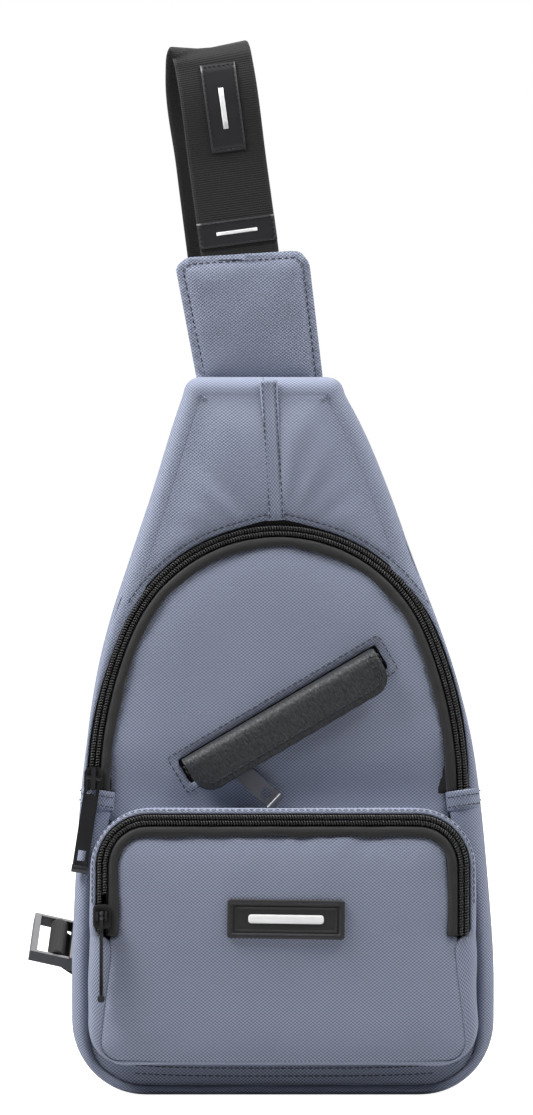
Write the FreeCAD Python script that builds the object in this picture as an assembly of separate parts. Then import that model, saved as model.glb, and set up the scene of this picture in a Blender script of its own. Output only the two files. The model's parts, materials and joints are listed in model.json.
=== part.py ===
import FreeCAD, Part
import os
from math import atan2, cos, degrees, radians, sin

# Sling bag, in millimetres. X to the viewer's right, the front faces -Y, Z up.
# The origin is the middle of the flat base. The front leans back from the vertical by FRONT_TILT.
# Pieces of the front are drawn in the front's own axes: x across, v up the front, w out of it.

V = FreeCAD.Vector

# Body
BODY_HEIGHT = 346.0
BASE_HALF_WIDTH = 102.0
BASE_CORNER = 36.0
SHOULDER = 8.0
# The body leans a little to the left, so each side has its own stations: height, distance from the middle
LEFT_SIDE = (
    (61, 102.0), (104, 100.2), (147, 98.0), (170, 96.0),
    (190, 93.0), (210, 88.4), (230, 83.2), (289, 64.0), (338, 48.0),
)
RIGHT_SIDE = (
    (61, 102.0), (104, 99.2), (147, 95.0), (170, 91.8),
    (190, 87.8), (210, 81.9), (230, 75.0), (289, 52.3), (338, 30.0),
)
FRONT_Y, BACK_Y = -32.0, 28.0  # at the base
FRONT_TILT = 5.0
FABRIC = 1.4
SIDE_WALL = 1.6
GAP = 0.1
FAR = 300.0  # beyond the bag on every side, for pieces that only cut
SEAM_TOP, SEAM_FOOT = (-7.0, BODY_HEIGHT), (-3.0, 276.0)  # centre seam, x and z
STRIP_HALF, STRIP_THICK = 4.5, 0.9
STRIP_LOW, STRIP_HIGH = 278.8, 342.0

# Inside and back
LINING = 0.8
LINING_INSET = 1.4  # from the outside of the wall
FOAM_INSET, FOAM_FRONT_Y = 6.0, 21.4
BACK_LINING_Y = 20.2
MESH_INSET, MESH_THICK = 14.0, 3.3
MESH_LOW, MESH_HIGH = 96.0, 322.0

# Main zip: a three-centred arch, its side arcs and its top arc tangent to each other
ARCH_X = -2.2
ARCH_BASE = 145.5
ARCH_HALF_SPAN = 89.2
ARCH_RISE = 129.5
ARCH_SIDE_R = 200.0

# Main flap
FLAP_BOTTOM = 138.5
LOWER_PANEL_TOP = 137.4
SHEET_EDGE = 3.3  # from the middle of the zip to the edge of the cloth outside it
FLAP_LINING_INSET = 14.0
END_TAB_LOW = 136.0

# Zips, measured from the middle of the chain
COIL_IN, COIL_OUT = 0.3, 2.3
TAPE_IN = 0.4
COIL_LOW, COIL_HIGH = -1.5, 0.6  # over the fabric's face
TAPE_LOW, TAPE_HIGH = -2.6, -1.6
BINDING_OUT = 9.4
FLAP_EDGE = BINDING_OUT + 0.2
MAIN_TAPE_WIDTH = 10.0
SLIDER_LENGTH = 11.6
SLIDER_PLATE = 1.4
SLIDER_WEB = 0.4
PULL_LENGTH = 36.0
MAIN_PULL_SWING = 6.6  # the pull hangs a little out to the left

# Pocket
POCKET_HALF = 91.0
POCKET_BOTTOM, POCKET_TOP = 14.0, 135.5
POCKET_TOP_R, POCKET_BOTTOM_R = 26.6, 22.0
POCKET_DEPTH = 24.0
POCKET_ZIP_INSET = 4.6
POCKET_ZIP_END = 77.0
POCKET_FOLD = 74.5
POCKET_SLIDER_V = 86.5
PATCH_LENGTH, PATCH_HEIGHT, PATCH_THICK = 56.0, 18.8, 2.1
PATCH_MIDDLE, PATCH_TURN = (1.4, 85.2), 0.8

# Slanted pocket
SLANT = 30.4
SLANT_MIDDLE = (0.0, 183.7)
SLANT_LENGTH, SLANT_WINDOW = 111.0, 13.0
WELT_LENGTH, WELT_DROP = 107.0, 23.0
WELT_CLEAR, WELT_THICK = 5.6, 1.3
SLANT_SLIDER_S = -35.0  # along the slanted chain, from its middle
PULL_TURN = -43.0  # direction of the slanted pocket's pull, from +X

# Strap
WEBBING, WEBBING_THICK = 38.0, 1.6
STRAP_LEAN = 7.7
STRAP_Y = 11.5
PAD_FRONT_Y, PAD_BACK_Y, PAD_CLOTH = 7.8, 15.7, 1.2
TAB_WIDTH = 37.0

# Buckle: length runs out to the left, the width is tipped away from the body
BUCKLE_AT = V(-98.7, 53.0, 62.8)
BUCKLE_LENGTHWAYS = V(-0.96, -0.06, 0.22)
BUCKLE_WIDTHWAYS = V(0.06, 0.94, 0.33)

TO_FRONT = FreeCAD.Placement(V(0, FRONT_Y, 0), FreeCAD.Rotation(V(1, 0, 0), -FRONT_TILT))

os.makedirs("parts", exist_ok=True)


def save(name, shape):
    """Writes one piece, after checking that it is closed."""
    solids = shape.Solids
    if not solids or not all(s.isValid() and s.Volume > 0.5 for s in solids):
        raise ValueError(name + " is not a closed solid")
    whole = solids[0] if len(solids) == 1 else Part.makeCompound(solids)
    whole.exportStep("parts/" + name + ".step")
    print(name, len(solids), round(whole.Volume, 1))


def on_front(shape):
    """Moves a piece from the front's own axes to the bag's."""
    moved = shape.copy()
    moved.Placement = TO_FRONT.multiply(moved.Placement)
    return moved


def line(a, b):
    return Part.LineSegment(V(a[0], 0, a[1]), V(b[0], 0, b[1])).toShape()


def arc(centre, radius, start, end):
    """An arc in the XZ plane; angles in degrees from +X towards +Z."""
    def at(angle):
        return V(centre[0] + radius * cos(radians(angle)), 0, centre[1] + radius * sin(radians(angle)))
    return Part.Arc(at(start), at((start + end) / 2), at(end)).toShape()


def face(edges):
    return Part.Face(Part.Wire(Part.__sortEdges__(edges)))


def polygon(points):
    return face([line(a, b) for a, b in zip(points, points[1:] + points[:1])])


def rectangle(x0, z0, x1, z1):
    return polygon([(x0, z0), (x1, z0), (x1, z1), (x0, z1)])


def rounded(x0, z0, x1, z1, bottom_r, top_r):
    """A rectangle with rounded corners."""
    edges = [
        line((x0 + bottom_r, z0), (x1 - bottom_r, z0)),
        arc((x1 - bottom_r, z0 + bottom_r), bottom_r, -90, 0),
        line((x1, z0 + bottom_r), (x1, z1 - top_r)),
        arc((x1 - top_r, z1 - top_r), top_r, 0, 90),
        line((x1 - top_r, z1), (x0 + top_r, z1)),
        arc((x0 + top_r, z1 - top_r), top_r, 90, 180),
        line((x0, z1 - top_r), (x0, z0 + bottom_r)),
        arc((x0 + bottom_r, z0 + bottom_r), bottom_r, 180, 270),
    ]
    return face(edges)


def plate(outline, low, high):
    """A flat piece from its outline, between two heights over the front's plane."""
    placed = outline.copy()
    placed.translate(V(0, -low, 0))
    return placed.extrude(V(0, low - high, 0))


def slab(outline, y0, y1):
    """A flat piece of the back, between two depths."""
    placed = outline.copy()
    placed.translate(V(0, y0, 0))
    return placed.extrude(V(0, y1 - y0, 0))


def block(x0, x1, y0, y1, z0, z1):
    return Part.makeBox(x1 - x0, y1 - y0, z1 - z0, V(x0, y0, z0))


# ---------------------------------------------------------------- body

def body_outline(inset=0.0):
    """The body seen from the front, drawn in by inset all round."""
    top = BODY_HEIGHT - inset
    corner_x = BASE_HALF_WIDTH - BASE_CORNER
    edges = [line((-corner_x, inset), (corner_x, inset))]
    shoulders = []
    for sign, stations in ((1, RIGHT_SIDE), (-1, LEFT_SIDE)):
        start, end = (-90, 0) if sign > 0 else (180, 270)
        edges.append(arc((sign * corner_x, BASE_CORNER), BASE_CORNER - inset, start, end))
        points = [V(sign * (BASE_HALF_WIDTH - inset), 0, BASE_CORNER)]
        points += [V(sign * (half - inset), 0, z) for z, half in stations]
        curve = Part.BSplineCurve()
        curve.interpolate(points, InitialTangent=V(0, 0, 1))
        edges.append(curve.toShape())
        low = points[-1]
        high = V(low.x - sign * SHOULDER, 0, top)
        bulge = V(low.x - sign * 0.24 * SHOULDER, 0, low.z + 0.74 * (top - low.z))
        edges.append(Part.Arc(low, bulge, high).toShape())
        shoulders.append(high)
    edges.append(Part.LineSegment(shoulders[0], shoulders[1]).toShape())
    return face(edges)


def arch_face(offset, floor):
    """The area inside the zip arch grown by offset, down to the height floor."""
    side_x = ARCH_SIDE_R - ARCH_HALF_SPAN
    top_r = (ARCH_SIDE_R**2 - side_x**2 - ARCH_RISE**2) / (2 * (ARCH_SIDE_R - ARCH_RISE))
    top_centre = (ARCH_X, ARCH_BASE + ARCH_RISE - top_r)
    turn = degrees(atan2(top_centre[1] - ARCH_BASE, side_x))
    left, right = ARCH_X - ARCH_HALF_SPAN - offset, ARCH_X + ARCH_HALF_SPAN + offset
    edges = [
        arc((ARCH_X - side_x, ARCH_BASE), ARCH_SIDE_R + offset, 0, turn),
        arc(top_centre, top_r + offset, turn, 180 - turn),
        arc((ARCH_X + side_x, ARCH_BASE), ARCH_SIDE_R + offset, 180 - turn, 180),
        line((left, floor), (right, floor)),
    ]
    if floor < ARCH_BASE:
        edges += [line((right, floor), (right, ARCH_BASE)), line((left, ARCH_BASE), (left, floor))]
    return face(edges)


def arch_band(inner, outer):
    return arch_face(outer, ARCH_BASE).cut(arch_face(inner, ARCH_BASE))


def behind(w):
    """Everything behind a height over the front's plane."""
    return on_front(block(-FAR, FAR, -w, FAR, -FAR, 2 * FAR))


inner_outline = body_outline(SIDE_WALL + GAP)
lined_outline = body_outline(SIDE_WALL + LINING_INSET)
wall = slab(body_outline(), -FAR, BACK_Y).cut(slab(body_outline(SIDE_WALL), -2 * FAR, FAR)).common(behind(0))
inside = slab(inner_outline, -FAR, BACK_Y)


def front_piece(area, low, high):
    """A piece of the front, kept inside the side wall."""
    return on_front(plate(area, low, high)).common(inside)


def seam_x(z):
    share = (z - SEAM_FOOT[1]) / (SEAM_TOP[1] - SEAM_FOOT[1])
    return SEAM_FOOT[0] + share * (SEAM_TOP[0] - SEAM_FOOT[0])


# The upper panels wrap from the front to the back, and the centre seam divides them.
# A rim joins the front sheet to the wall, as the one piece of cloth that they are.
above_arch_foot = rectangle(-FAR, ARCH_BASE + GAP, FAR, 2 * FAR)
upper_front = front_piece(above_arch_foot.cut(arch_face(SHEET_EDGE, ARCH_BASE - 5)), -FABRIC, 0)
upper_wall = wall.common(block(-FAR, FAR, -FAR, FAR, ARCH_BASE - 0.4, 2 * FAR))
rim_area = body_outline(SIDE_WALL - 0.2).cut(body_outline(SIDE_WALL + 0.4))
rim = on_front(plate(above_arch_foot, -FABRIC, 0)).common(slab(rim_area, -FAR, BACK_Y))
upper = upper_wall.fuse([upper_front, rim])
for name, sign in (("upper_panel_left", -1), ("upper_panel_right", 1)):
    foot, head = seam_x(0) + sign * GAP, seam_x(2 * FAR) + sign * GAP
    own_half = polygon([(foot, 0), (sign * FAR, 0), (sign * FAR, 2 * FAR), (head, 2 * FAR)])
    save(name, upper.common(slab(own_half, -FAR, FAR)).removeSplitter())

strip = polygon([
    (seam_x(STRIP_LOW) - STRIP_HALF, STRIP_LOW), (seam_x(STRIP_LOW) + STRIP_HALF, STRIP_LOW),
    (seam_x(STRIP_HIGH) + STRIP_HALF, STRIP_HIGH), (seam_x(STRIP_HIGH) - STRIP_HALF, STRIP_HIGH),
])
save("centre_seam_strip", on_front(plate(strip, GAP, GAP + STRIP_THICK)))

save("lower_gusset", wall.common(block(-FAR, FAR, -FAR, FAR, -FAR, ARCH_BASE - 0.6)))
lower_area = rectangle(-FAR, -FAR, FAR, ARCH_BASE - GAP).cut(arch_face(-FLAP_EDGE + 0.8, LOWER_PANEL_TOP))
save("lower_front_panel", front_piece(lower_area, -FABRIC, 0))

gusset_lining_area = body_outline(SIDE_WALL + 0.3).cut(body_outline(SIDE_WALL + 0.3 + LINING))
save("gusset_lining", slab(gusset_lining_area, -FAR, BACK_LINING_Y - 0.2).common(behind(-4.6)))
front_lining_area = rectangle(-POCKET_HALF + 7, 8, POCKET_HALF - 7, LOWER_PANEL_TOP - 2)
save("front_lining", on_front(plate(front_lining_area, -1.8 - LINING, -1.8)).common(
    slab(lined_outline, -FAR, BACK_Y)))
save("back_lining", slab(lined_outline, BACK_LINING_Y, BACK_LINING_Y + 1))
save("back_foam", slab(body_outline(FOAM_INSET), FOAM_FRONT_Y, BACK_Y - FABRIC - GAP))
save("back_panel", slab(inner_outline, BACK_Y - FABRIC, BACK_Y))
mesh_area = body_outline(MESH_INSET).common(rectangle(-FAR, MESH_LOW, FAR, MESH_HIGH))
save("back_mesh_pad", slab(mesh_area, BACK_Y + GAP, BACK_Y + GAP + MESH_THICK))

# ---------------------------------------------------------------- main zip and flap

save("main_zip_tape_outer", on_front(plate(arch_band(TAPE_IN, MAIN_TAPE_WIDTH), TAPE_LOW, TAPE_HIGH)).common(
    slab(body_outline(SIDE_WALL + 0.3), -FAR, BACK_Y)))
save("main_zip_coil_outer", on_front(plate(arch_band(COIL_IN, COIL_OUT), COIL_LOW, COIL_HIGH)))

# The slider stands in this clearance at the closed end of the zip, on the left.
slider_bay = rectangle(-120, 100, ARCH_X - ARCH_HALF_SPAN + 5.6, ARCH_BASE + 14.6)


def flap_piece(area, low, high):
    return on_front(plate(area.cut(slider_bay), low, high))


save("main_zip_tape_inner", flap_piece(arch_band(-MAIN_TAPE_WIDTH - 2, -TAPE_IN), TAPE_LOW, TAPE_HIGH))
save("main_zip_coil_inner", flap_piece(arch_band(-COIL_OUT, -COIL_IN), COIL_LOW, COIL_HIGH))
save("main_zip_binding", flap_piece(arch_band(-BINDING_OUT, -COIL_OUT - 0.3), -FABRIC, 0.2))


def slanted(shape):
    """Turns a piece drawn level round the middle of the slanted pocket."""
    turned = shape.copy()
    turned.rotate(V(0, 0, 0), V(0, 1, 0), -SLANT)
    turned.translate(V(SLANT_MIDDLE[0], 0, SLANT_MIDDLE[1]))
    return turned


def centred(length, width, corner):
    return rounded(-length / 2, -width / 2, length / 2, width / 2, corner, corner)


window = slanted(plate(centred(SLANT_LENGTH, SLANT_WINDOW, 1), -9, 9))
panel = plate(arch_face(-FLAP_EDGE, FLAP_BOTTOM), -FABRIC, 0)
save("main_flap_panel", on_front(panel.cut(window)))
flap_lining_area = arch_face(-FLAP_LINING_INSET, FLAP_BOTTOM + 4)
lining_hole = slanted(plate(centred(SLANT_LENGTH + 9, SLANT_WINDOW + 9, 1), -9, 9))
save("flap_lining", on_front(plate(flap_lining_area, -3.6 - LINING, -3.6).cut(lining_hole)))

for name, sign in (("zip_end_tab_left", -1), ("zip_end_tab_right", 1)):
    xs = sorted((ARCH_X + sign * (ARCH_HALF_SPAN - FLAP_EDGE + 1.6), ARCH_X + sign * (ARCH_HALF_SPAN + 4.6)))
    save(name, on_front(plate(rectangle(xs[0], END_TAB_LOW, xs[1], ARCH_BASE - 0.3), GAP, GAP + STRIP_THICK)))

# ---------------------------------------------------------------- sliders and pulls


def slider_body(top_half, bottom_half, face_height):
    """A slider on a straight chain along v: two plates and the web that divides the coils."""
    half = SLIDER_LENGTH / 2
    low = face_height + COIL_HIGH + 0.4
    under = face_height + TAPE_LOW - 0.2
    top = plate(rounded(-top_half, -half, top_half, half, 2.0, 3.0), low, low + SLIDER_PLATE)
    bottom = plate(rounded(-bottom_half, -half, bottom_half, half, 1.5, 2.0), under - SLIDER_PLATE, under)
    web = plate(rectangle(-SLIDER_WEB / 2, -half + 1, SLIDER_WEB / 2, half - 1), under - 0.2, low + 0.2)
    return top.fuse([bottom, web]), low + SLIDER_PLATE


def bridge_along(face_top):
    """A bridge whose bar runs along the chain, over a space for the pull's pin."""
    posts = [plate(rectangle(-1.1, z - 1.0, 1.1, z + 1.0), face_top - 0.2, face_top + 3.4) for z in (-4.4, 4.4)]
    bar = plate(rounded(-1.1, -5.4, 1.1, 5.4, 1.0, 1.0), face_top + 3.0, face_top + 4.2)
    return posts[0].fuse([posts[1], bar])


def bar_across(x0, x1, radius, v, w):
    return Part.makeCylinder(radius, x1 - x0, V(x0, -w, v), V(1, 0, 0))


def flat_pull(pin_w, length):
    """A pull hanging down from a pin at v = 0: pin, two arms, plate with a window and a thick end bar."""
    low, high = pin_w - 0.8, pin_w + 0.8
    frame_area = rounded(-3.7, -9.5, 3.7, 1.2, 0.5, 1.2).cut(rectangle(-2.2, -8.0, 2.2, 0.0))
    window_low = -length + 4.0
    tongue = rectangle(-3.7, -length, 3.7, -9.0).cut(rectangle(-1.9, window_low, 1.9, window_low + 5.0))
    body = plate(frame_area.fuse(tongue), low, high)
    return body.fuse([bar_across(-3.7, 3.7, 1.0, 0, pin_w), bar_across(-3.9, 3.9, 1.9, -length, pin_w)])


# Main slider: at the left end of the arch, on its side arc
arc_centre_x = ARCH_X + ARCH_SIDE_R - ARCH_HALF_SPAN
slider_angle = degrees((SLIDER_LENGTH / 2 + 1.2) / ARCH_SIDE_R)


def at_main_slider(shape):
    """Puts a piece drawn on a straight chain at x = 0 on the arch's left side arc."""
    placed = shape.copy()
    placed.translate(V(-ARCH_SIDE_R, 0, 0))
    placed.rotate(V(0, 0, 0), V(0, 1, 0), slider_angle)
    placed.translate(V(arc_centre_x, 0, ARCH_BASE))
    return placed


def curved_web(height_low, height_high):
    """The web between the coils follows the arch, so that it slides in the gap without touching."""
    spread = degrees((SLIDER_LENGTH / 2 - 1) / ARCH_SIDE_R)
    start, end = 180 - slider_angle - spread, 180 - slider_angle + spread
    inner, outer = ARCH_SIDE_R - SLIDER_WEB / 2, ARCH_SIDE_R + SLIDER_WEB / 2
    def corner(radius, angle):
        return (arc_centre_x + radius * cos(radians(angle)), ARCH_BASE + radius * sin(radians(angle)))
    centre = (arc_centre_x, ARCH_BASE)
    area = face([
        arc(centre, outer, start, end), line(corner(outer, end), corner(inner, end)),
        arc(centre, inner, start, end), line(corner(inner, start), corner(outer, start)),
    ])
    return plate(area, height_low, height_high)


main_half = SLIDER_LENGTH / 2
top_low = COIL_HIGH + 0.4
bottom_high = TAPE_LOW - 0.2
main_top = plate(rounded(-4.6, -main_half, 4.6, main_half, 2.0, 3.4), top_low, top_low + SLIDER_PLATE)
main_bottom = plate(
    rounded(-4.2, -main_half, 4.2, main_half, 1.5, 2.0), bottom_high - SLIDER_PLATE, bottom_high)
main_slider = at_main_slider(main_top.fuse(bridge_along(top_low + SLIDER_PLATE))).fuse(
    [at_main_slider(main_bottom), curved_web(bottom_high - 0.2, top_low + 0.2)])
save("main_slider", on_front(main_slider))

MAIN_PIN_W = top_low + SLIDER_PLATE + 1.6
hanging = flat_pull(MAIN_PIN_W, PULL_LENGTH + 8)
hanging.rotate(V(0, 0, 0), V(0, 1, 0), MAIN_PULL_SWING)
save("main_pull", on_front(at_main_slider(hanging)))

# Slanted pocket slider: a post in place of a bridge, and a pull whose eye turns on the post
slant_body, slant_top = slider_body(4.2, 4.2, 0.0)
post = Part.makeCylinder(1.1, 2.4, V(0, -slant_top + 0.2, 0), V(0, -1, 0))
cap = Part.makeCylinder(1.9, 0.7, V(0, -slant_top - 2.0, 0), V(0, -1, 0))
slant_slider = slant_body.fuse([post, cap])
slant_slider.rotate(V(0, 0, 0), V(0, 1, 0), 90)
slant_slider.translate(V(SLANT_SLIDER_S, 0, 0))
save("slant_slider", on_front(slanted(slant_slider)))

slant_pin = (SLANT_MIDDLE[0] + SLANT_SLIDER_S * cos(radians(SLANT)),
             SLANT_MIDDLE[1] + SLANT_SLIDER_S * sin(radians(SLANT)))


def swivel_pull(length, low):
    """A pull along -v with an eye round the post at its head."""
    eye = face([arc((0, 0), 3.4, 0, 180), arc((0, 0), 3.4, 180, 360)])
    hole = face([arc((0, 0), 1.35, 0, 180), arc((0, 0), 1.35, 180, 360)])
    neck = polygon([(-2.6, -1.9), (2.6, -1.9), (4.4, -8.0), (-4.4, -8.0)])
    window_low = -length + 3.6
    tongue = rectangle(-4.4, -length, 4.4, -7.9).cut(rectangle(-2.4, window_low, 2.4, window_low + 5.0))
    area = eye.fuse([neck, tongue]).cut(hole)
    return plate(area, low, low + 1.4).fuse(bar_across(-4.6, 4.6, 1.6, -length, low + 0.9))


slant_pull = swivel_pull(36.2, slant_top + 0.3)
slant_pull.rotate(V(0, 0, 0), V(0, 1, 0), -(PULL_TURN + 90))
slant_pull.translate(V(slant_pin[0], 0, slant_pin[1]))
save("slant_pull", on_front(slant_pull))

# ---------------------------------------------------------------- slanted pocket on the flap

half_chain = SLANT_LENGTH / 2 - 1.5
for name, sign in (("upper", 1), ("lower", -1)):
    tape = sorted((sign * TAPE_IN, sign * 9.0))
    coil = sorted((sign * COIL_IN, sign * COIL_OUT))
    save("slant_zip_tape_" + name, on_front(slanted(
        plate(rectangle(-58, tape[0], 58, tape[1]), TAPE_LOW, TAPE_HIGH))))
    save("slant_zip_coil_" + name, on_front(slanted(
        plate(rectangle(-half_chain, coil[0], half_chain, coil[1]), COIL_LOW, COIL_HIGH))))

pouch_clip = arch_face(-15.0, FLAP_BOTTOM + 6)
pouch_outer = slanted(rectangle(-57, -34, 57, 9)).common(pouch_clip)
pouch_inner = slanted(rectangle(-55, -32, 55, 7)).common(arch_face(-17.0, FLAP_BOTTOM + 8))
mouth = slanted(plate(rectangle(-52, -5, 52, 5), -6.4, -4.0))
pouch = plate(pouch_outer, -9.0, -4.6).cut(plate(pouch_inner, -8.3, -5.3)).cut(mouth)
save("slant_pouch", on_front(pouch))

welt_top = SLANT_WINDOW / 2 - 0.5
welt = plate(rounded(-WELT_LENGTH / 2, welt_top - WELT_DROP, WELT_LENGTH / 2, welt_top, 9.0, 0.5),
             WELT_CLEAR, WELT_CLEAR + WELT_THICK)
riser_half = WELT_LENGTH / 2 - 0.6
riser = plate(rectangle(-riser_half, welt_top - WELT_THICK, riser_half, welt_top), 0.0, WELT_CLEAR + 0.2)
save("welt_flap", on_front(slanted(welt.fuse(riser))))

# ---------------------------------------------------------------- front pocket


def pocket_outline(inset=0.0, bottom=POCKET_BOTTOM):
    return rounded(-POCKET_HALF + inset, bottom + inset, POCKET_HALF - inset, POCKET_TOP - inset,
                   POCKET_BOTTOM_R - min(inset, 8.0), POCKET_TOP_R - inset)


def pocket_band(inner, outer):
    """The strip along the pocket's zip between two distances from the chain."""
    grown = pocket_outline(POCKET_ZIP_INSET - outer)
    shrunk = pocket_outline(POCKET_ZIP_INSET - inner)
    return grown.cut(shrunk).common(rectangle(-FAR, POCKET_ZIP_END, FAR, FAR))


face_low, face_high = POCKET_DEPTH - FABRIC, POCKET_DEPTH
save("pocket_gusset", on_front(plate(pocket_outline(), GAP, POCKET_DEPTH).cut(
    plate(pocket_outline(SIDE_WALL), -1, POCKET_DEPTH + 1))))
lower_face = pocket_outline(SIDE_WALL + GAP).common(rectangle(-FAR, 0, FAR, POCKET_FOLD - 0.3))
save("pocket_lower_face", on_front(plate(lower_face, face_low, face_high)))
save("pocket_zip_tape_outer", on_front(plate(
    pocket_band(TAPE_IN, 2.8), POCKET_DEPTH + TAPE_LOW, POCKET_DEPTH + TAPE_HIGH)))
save("pocket_zip_coil_outer", on_front(plate(
    pocket_band(COIL_IN, COIL_OUT), POCKET_DEPTH + COIL_LOW, POCKET_DEPTH + COIL_HIGH)))

pocket_bay = rectangle(-120, 60, -POCKET_HALF + POCKET_ZIP_INSET + 5.0, POCKET_SLIDER_V + 8.0)


def pocket_flap_piece(area, low, high):
    return on_front(plate(area.cut(pocket_bay), POCKET_DEPTH + low, POCKET_DEPTH + high))


save("pocket_zip_tape_inner", pocket_flap_piece(pocket_band(-11.0, -TAPE_IN), TAPE_LOW, TAPE_HIGH))
save("pocket_zip_coil_inner", pocket_flap_piece(pocket_band(-COIL_OUT, -COIL_IN), COIL_LOW, COIL_HIGH))
save("pocket_zip_binding", pocket_flap_piece(pocket_band(-BINDING_OUT, -COIL_OUT - 0.3), -FABRIC, 0.2))
flap_area = pocket_outline(POCKET_ZIP_INSET + BINDING_OUT + 0.2).common(
    rectangle(-FAR, POCKET_FOLD + 0.3, FAR, FAR))
save("pocket_upper_face", pocket_flap_piece(flap_area, -FABRIC, 0))

pocket_body, pocket_top = slider_body(4.2, 2.6, POCKET_DEPTH)
EAR_X, PIN_RISE = 1.5, 4.0
ears = [plate(rounded(x - 0.6, -2.2, x + 0.6, 2.2, 0.5, 0.5), pocket_top - 0.2, pocket_top + PIN_RISE + 1.6)
        for x in (-EAR_X - 0.6, EAR_X + 0.6)]
pin = bar_across(-EAR_X - 0.6, EAR_X + 0.6, 0.9, 0, pocket_top + PIN_RISE)
pocket_slider = pocket_body.fuse(ears + [pin])
pocket_slider.translate(V(-POCKET_HALF + POCKET_ZIP_INSET, 0, POCKET_SLIDER_V))
save("pocket_slider", on_front(pocket_slider))


def edge_pull(length):
    """A pull that hangs edge-on: drawn in the v, w plane, its eye round the slider's pin."""
    w = pocket_top + PIN_RISE
    hole = Part.makeCylinder(1.15, 4, V(-2, -w, 0), V(1, 0, 0))
    eye = Part.makeCylinder(2.5, 1.6, V(-0.8, -w, 0), V(1, 0, 0))
    neck = block(-0.8, 0.8, -w - 1.8, -w + 1.8, -9.0, -1.8)
    tongue = block(-0.8, 0.8, -w - 3.7, -w + 3.7, -length, -8.0)
    gap = block(-2, 2, -w - 2.0, -w + 2.0, -length + 4.0, -length + 9.0)
    end = Part.makeCylinder(1.8, 7.8, V(0, -w - 3.9, -length), V(0, 1, 0))
    return eye.fuse([neck, tongue]).cut(gap).fuse(end).cut(hole)


pocket_pull = edge_pull(PULL_LENGTH + 3)
pocket_pull.translate(V(-POCKET_HALF + POCKET_ZIP_INSET, 0, POCKET_SLIDER_V))
save("pocket_pull", on_front(pocket_pull))

patch = plate(centred(PATCH_LENGTH, PATCH_HEIGHT, 1.2), POCKET_DEPTH + GAP, POCKET_DEPTH + GAP + PATCH_THICK)
patch.rotate(V(0, 0, 0), V(0, 1, 0), PATCH_TURN)
patch.translate(V(PATCH_MIDDLE[0], 0, PATCH_MIDDLE[1]))
save("rubber_patch", on_front(patch))

# ---------------------------------------------------------------- strap


def ribbon(stations, thickness=WEBBING_THICK, width=WEBBING):
    """A flat strap through stations, each a centre and a direction across the strap."""
    centres = [V(*c) for c, _ in stations]
    sections = []
    for i, (_, across) in enumerate(stations):
        before, after = centres[max(i - 1, 0)], centres[min(i + 1, len(centres) - 1)]
        along = (after - before).normalize()
        wide = V(*across)
        wide = (wide - along * wide.dot(along)).normalize()
        thick = along.cross(wide) * (thickness / 2)
        wide = wide * (width / 2)
        corners = [centres[i] + wide + thick, centres[i] + wide - thick,
                   centres[i] - wide - thick, centres[i] - wide + thick]
        sections.append(Part.makePolygon(corners + corners[:1]))
    solid = Part.makeLoft(sections, True, True)
    return solid if solid.Volume > 0 else Part.makeLoft(sections[::-1], True, True)


pad_area = polygon([(-41, 346.4), (20, 346.4), (13, 402.5), (7, 408), (-48.5, 404), (-52.5, 400.5)])
pad_foam_area = polygon([(-39, 347), (18, 347), (11.5, 394.5), (-48.8, 394.5)])
save("strap_pad_front", slab(pad_area, PAD_FRONT_Y, PAD_FRONT_Y + PAD_CLOTH))
save("strap_pad_foam", slab(pad_foam_area, PAD_FRONT_Y + PAD_CLOTH + GAP, PAD_BACK_Y - PAD_CLOTH - GAP))
save("strap_pad_back", slab(pad_area, PAD_BACK_Y - PAD_CLOTH, PAD_BACK_Y))

lean = (cos(radians(STRAP_LEAN)), 0, sin(radians(STRAP_LEAN)))
length_way = BUCKLE_LENGTHWAYS.normalize()
width_way = (BUCKLE_WIDTHWAYS - length_way * BUCKLE_WIDTHWAYS.dot(length_way)).normalize()
normal_way = length_way.cross(width_way)
buckle_frame = FreeCAD.Placement(FreeCAD.Matrix(
    length_way.x, width_way.x, normal_way.x, BUCKLE_AT.x,
    length_way.y, width_way.y, normal_way.y, BUCKLE_AT.y,
    length_way.z, width_way.z, normal_way.z, BUCKLE_AT.z,
    0, 0, 0, 1))


def in_buckle(l, w, n):
    return tuple(buckle_frame.multVec(V(l, w, n)))


def at_buckle(shape):
    placed = shape.copy()
    placed.Placement = buckle_frame.multiply(placed.Placement)
    return placed


across_buckle = tuple(width_way)
STRAP_ROUTE = [
    ((-19.8, STRAP_Y, 398), lean),
    ((-21.0, STRAP_Y, 407), lean),
    ((-26.6, STRAP_Y, 448), lean),
    ((-33.2, STRAP_Y, 496), lean),
    ((-34.5, 13.0, 502.5), lean),
    ((-36.0, 17.5, 506), lean),
    ((-37.8, 22.5, 502.5), lean),
    ((-38.4, 25.5, 494), lean),
    ((-33.5, 33, 452), lean),
    ((-27.0, 43, 400), lean),
    ((-20.0, 54, 345), (1, 0, 0.10)),
    ((-15.5, 61, 295), (1, 0, 0.05)),
    ((-12.0, 64, 245), (0.97, 0.25, 0)),
    ((-8.5, 64, 200), (0.80, 0.60, 0)),
    ((-5.5, 62, 158), (0.45, 0.90, 0)),
    ((-3.0, 60, 118), (0.12, 1, 0)),
    ((-3.0, 58, 84), (0, 1, 0)),
    ((-8.5, 57, 58), (0, 1, 0.05)),
    ((-24, 57.5, 42), (0, 1, 0.15)),
    ((-46, 59, 39), (0.05, 0.93, 0.35)),
    (in_buckle(-28, 0, 13.0), across_buckle),
    (in_buckle(-10, 0, 10.0), across_buckle),
    (in_buckle(4, 0, 6.0), across_buckle),
    (in_buckle(10.4, 0, 3.2), across_buckle),
]
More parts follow.
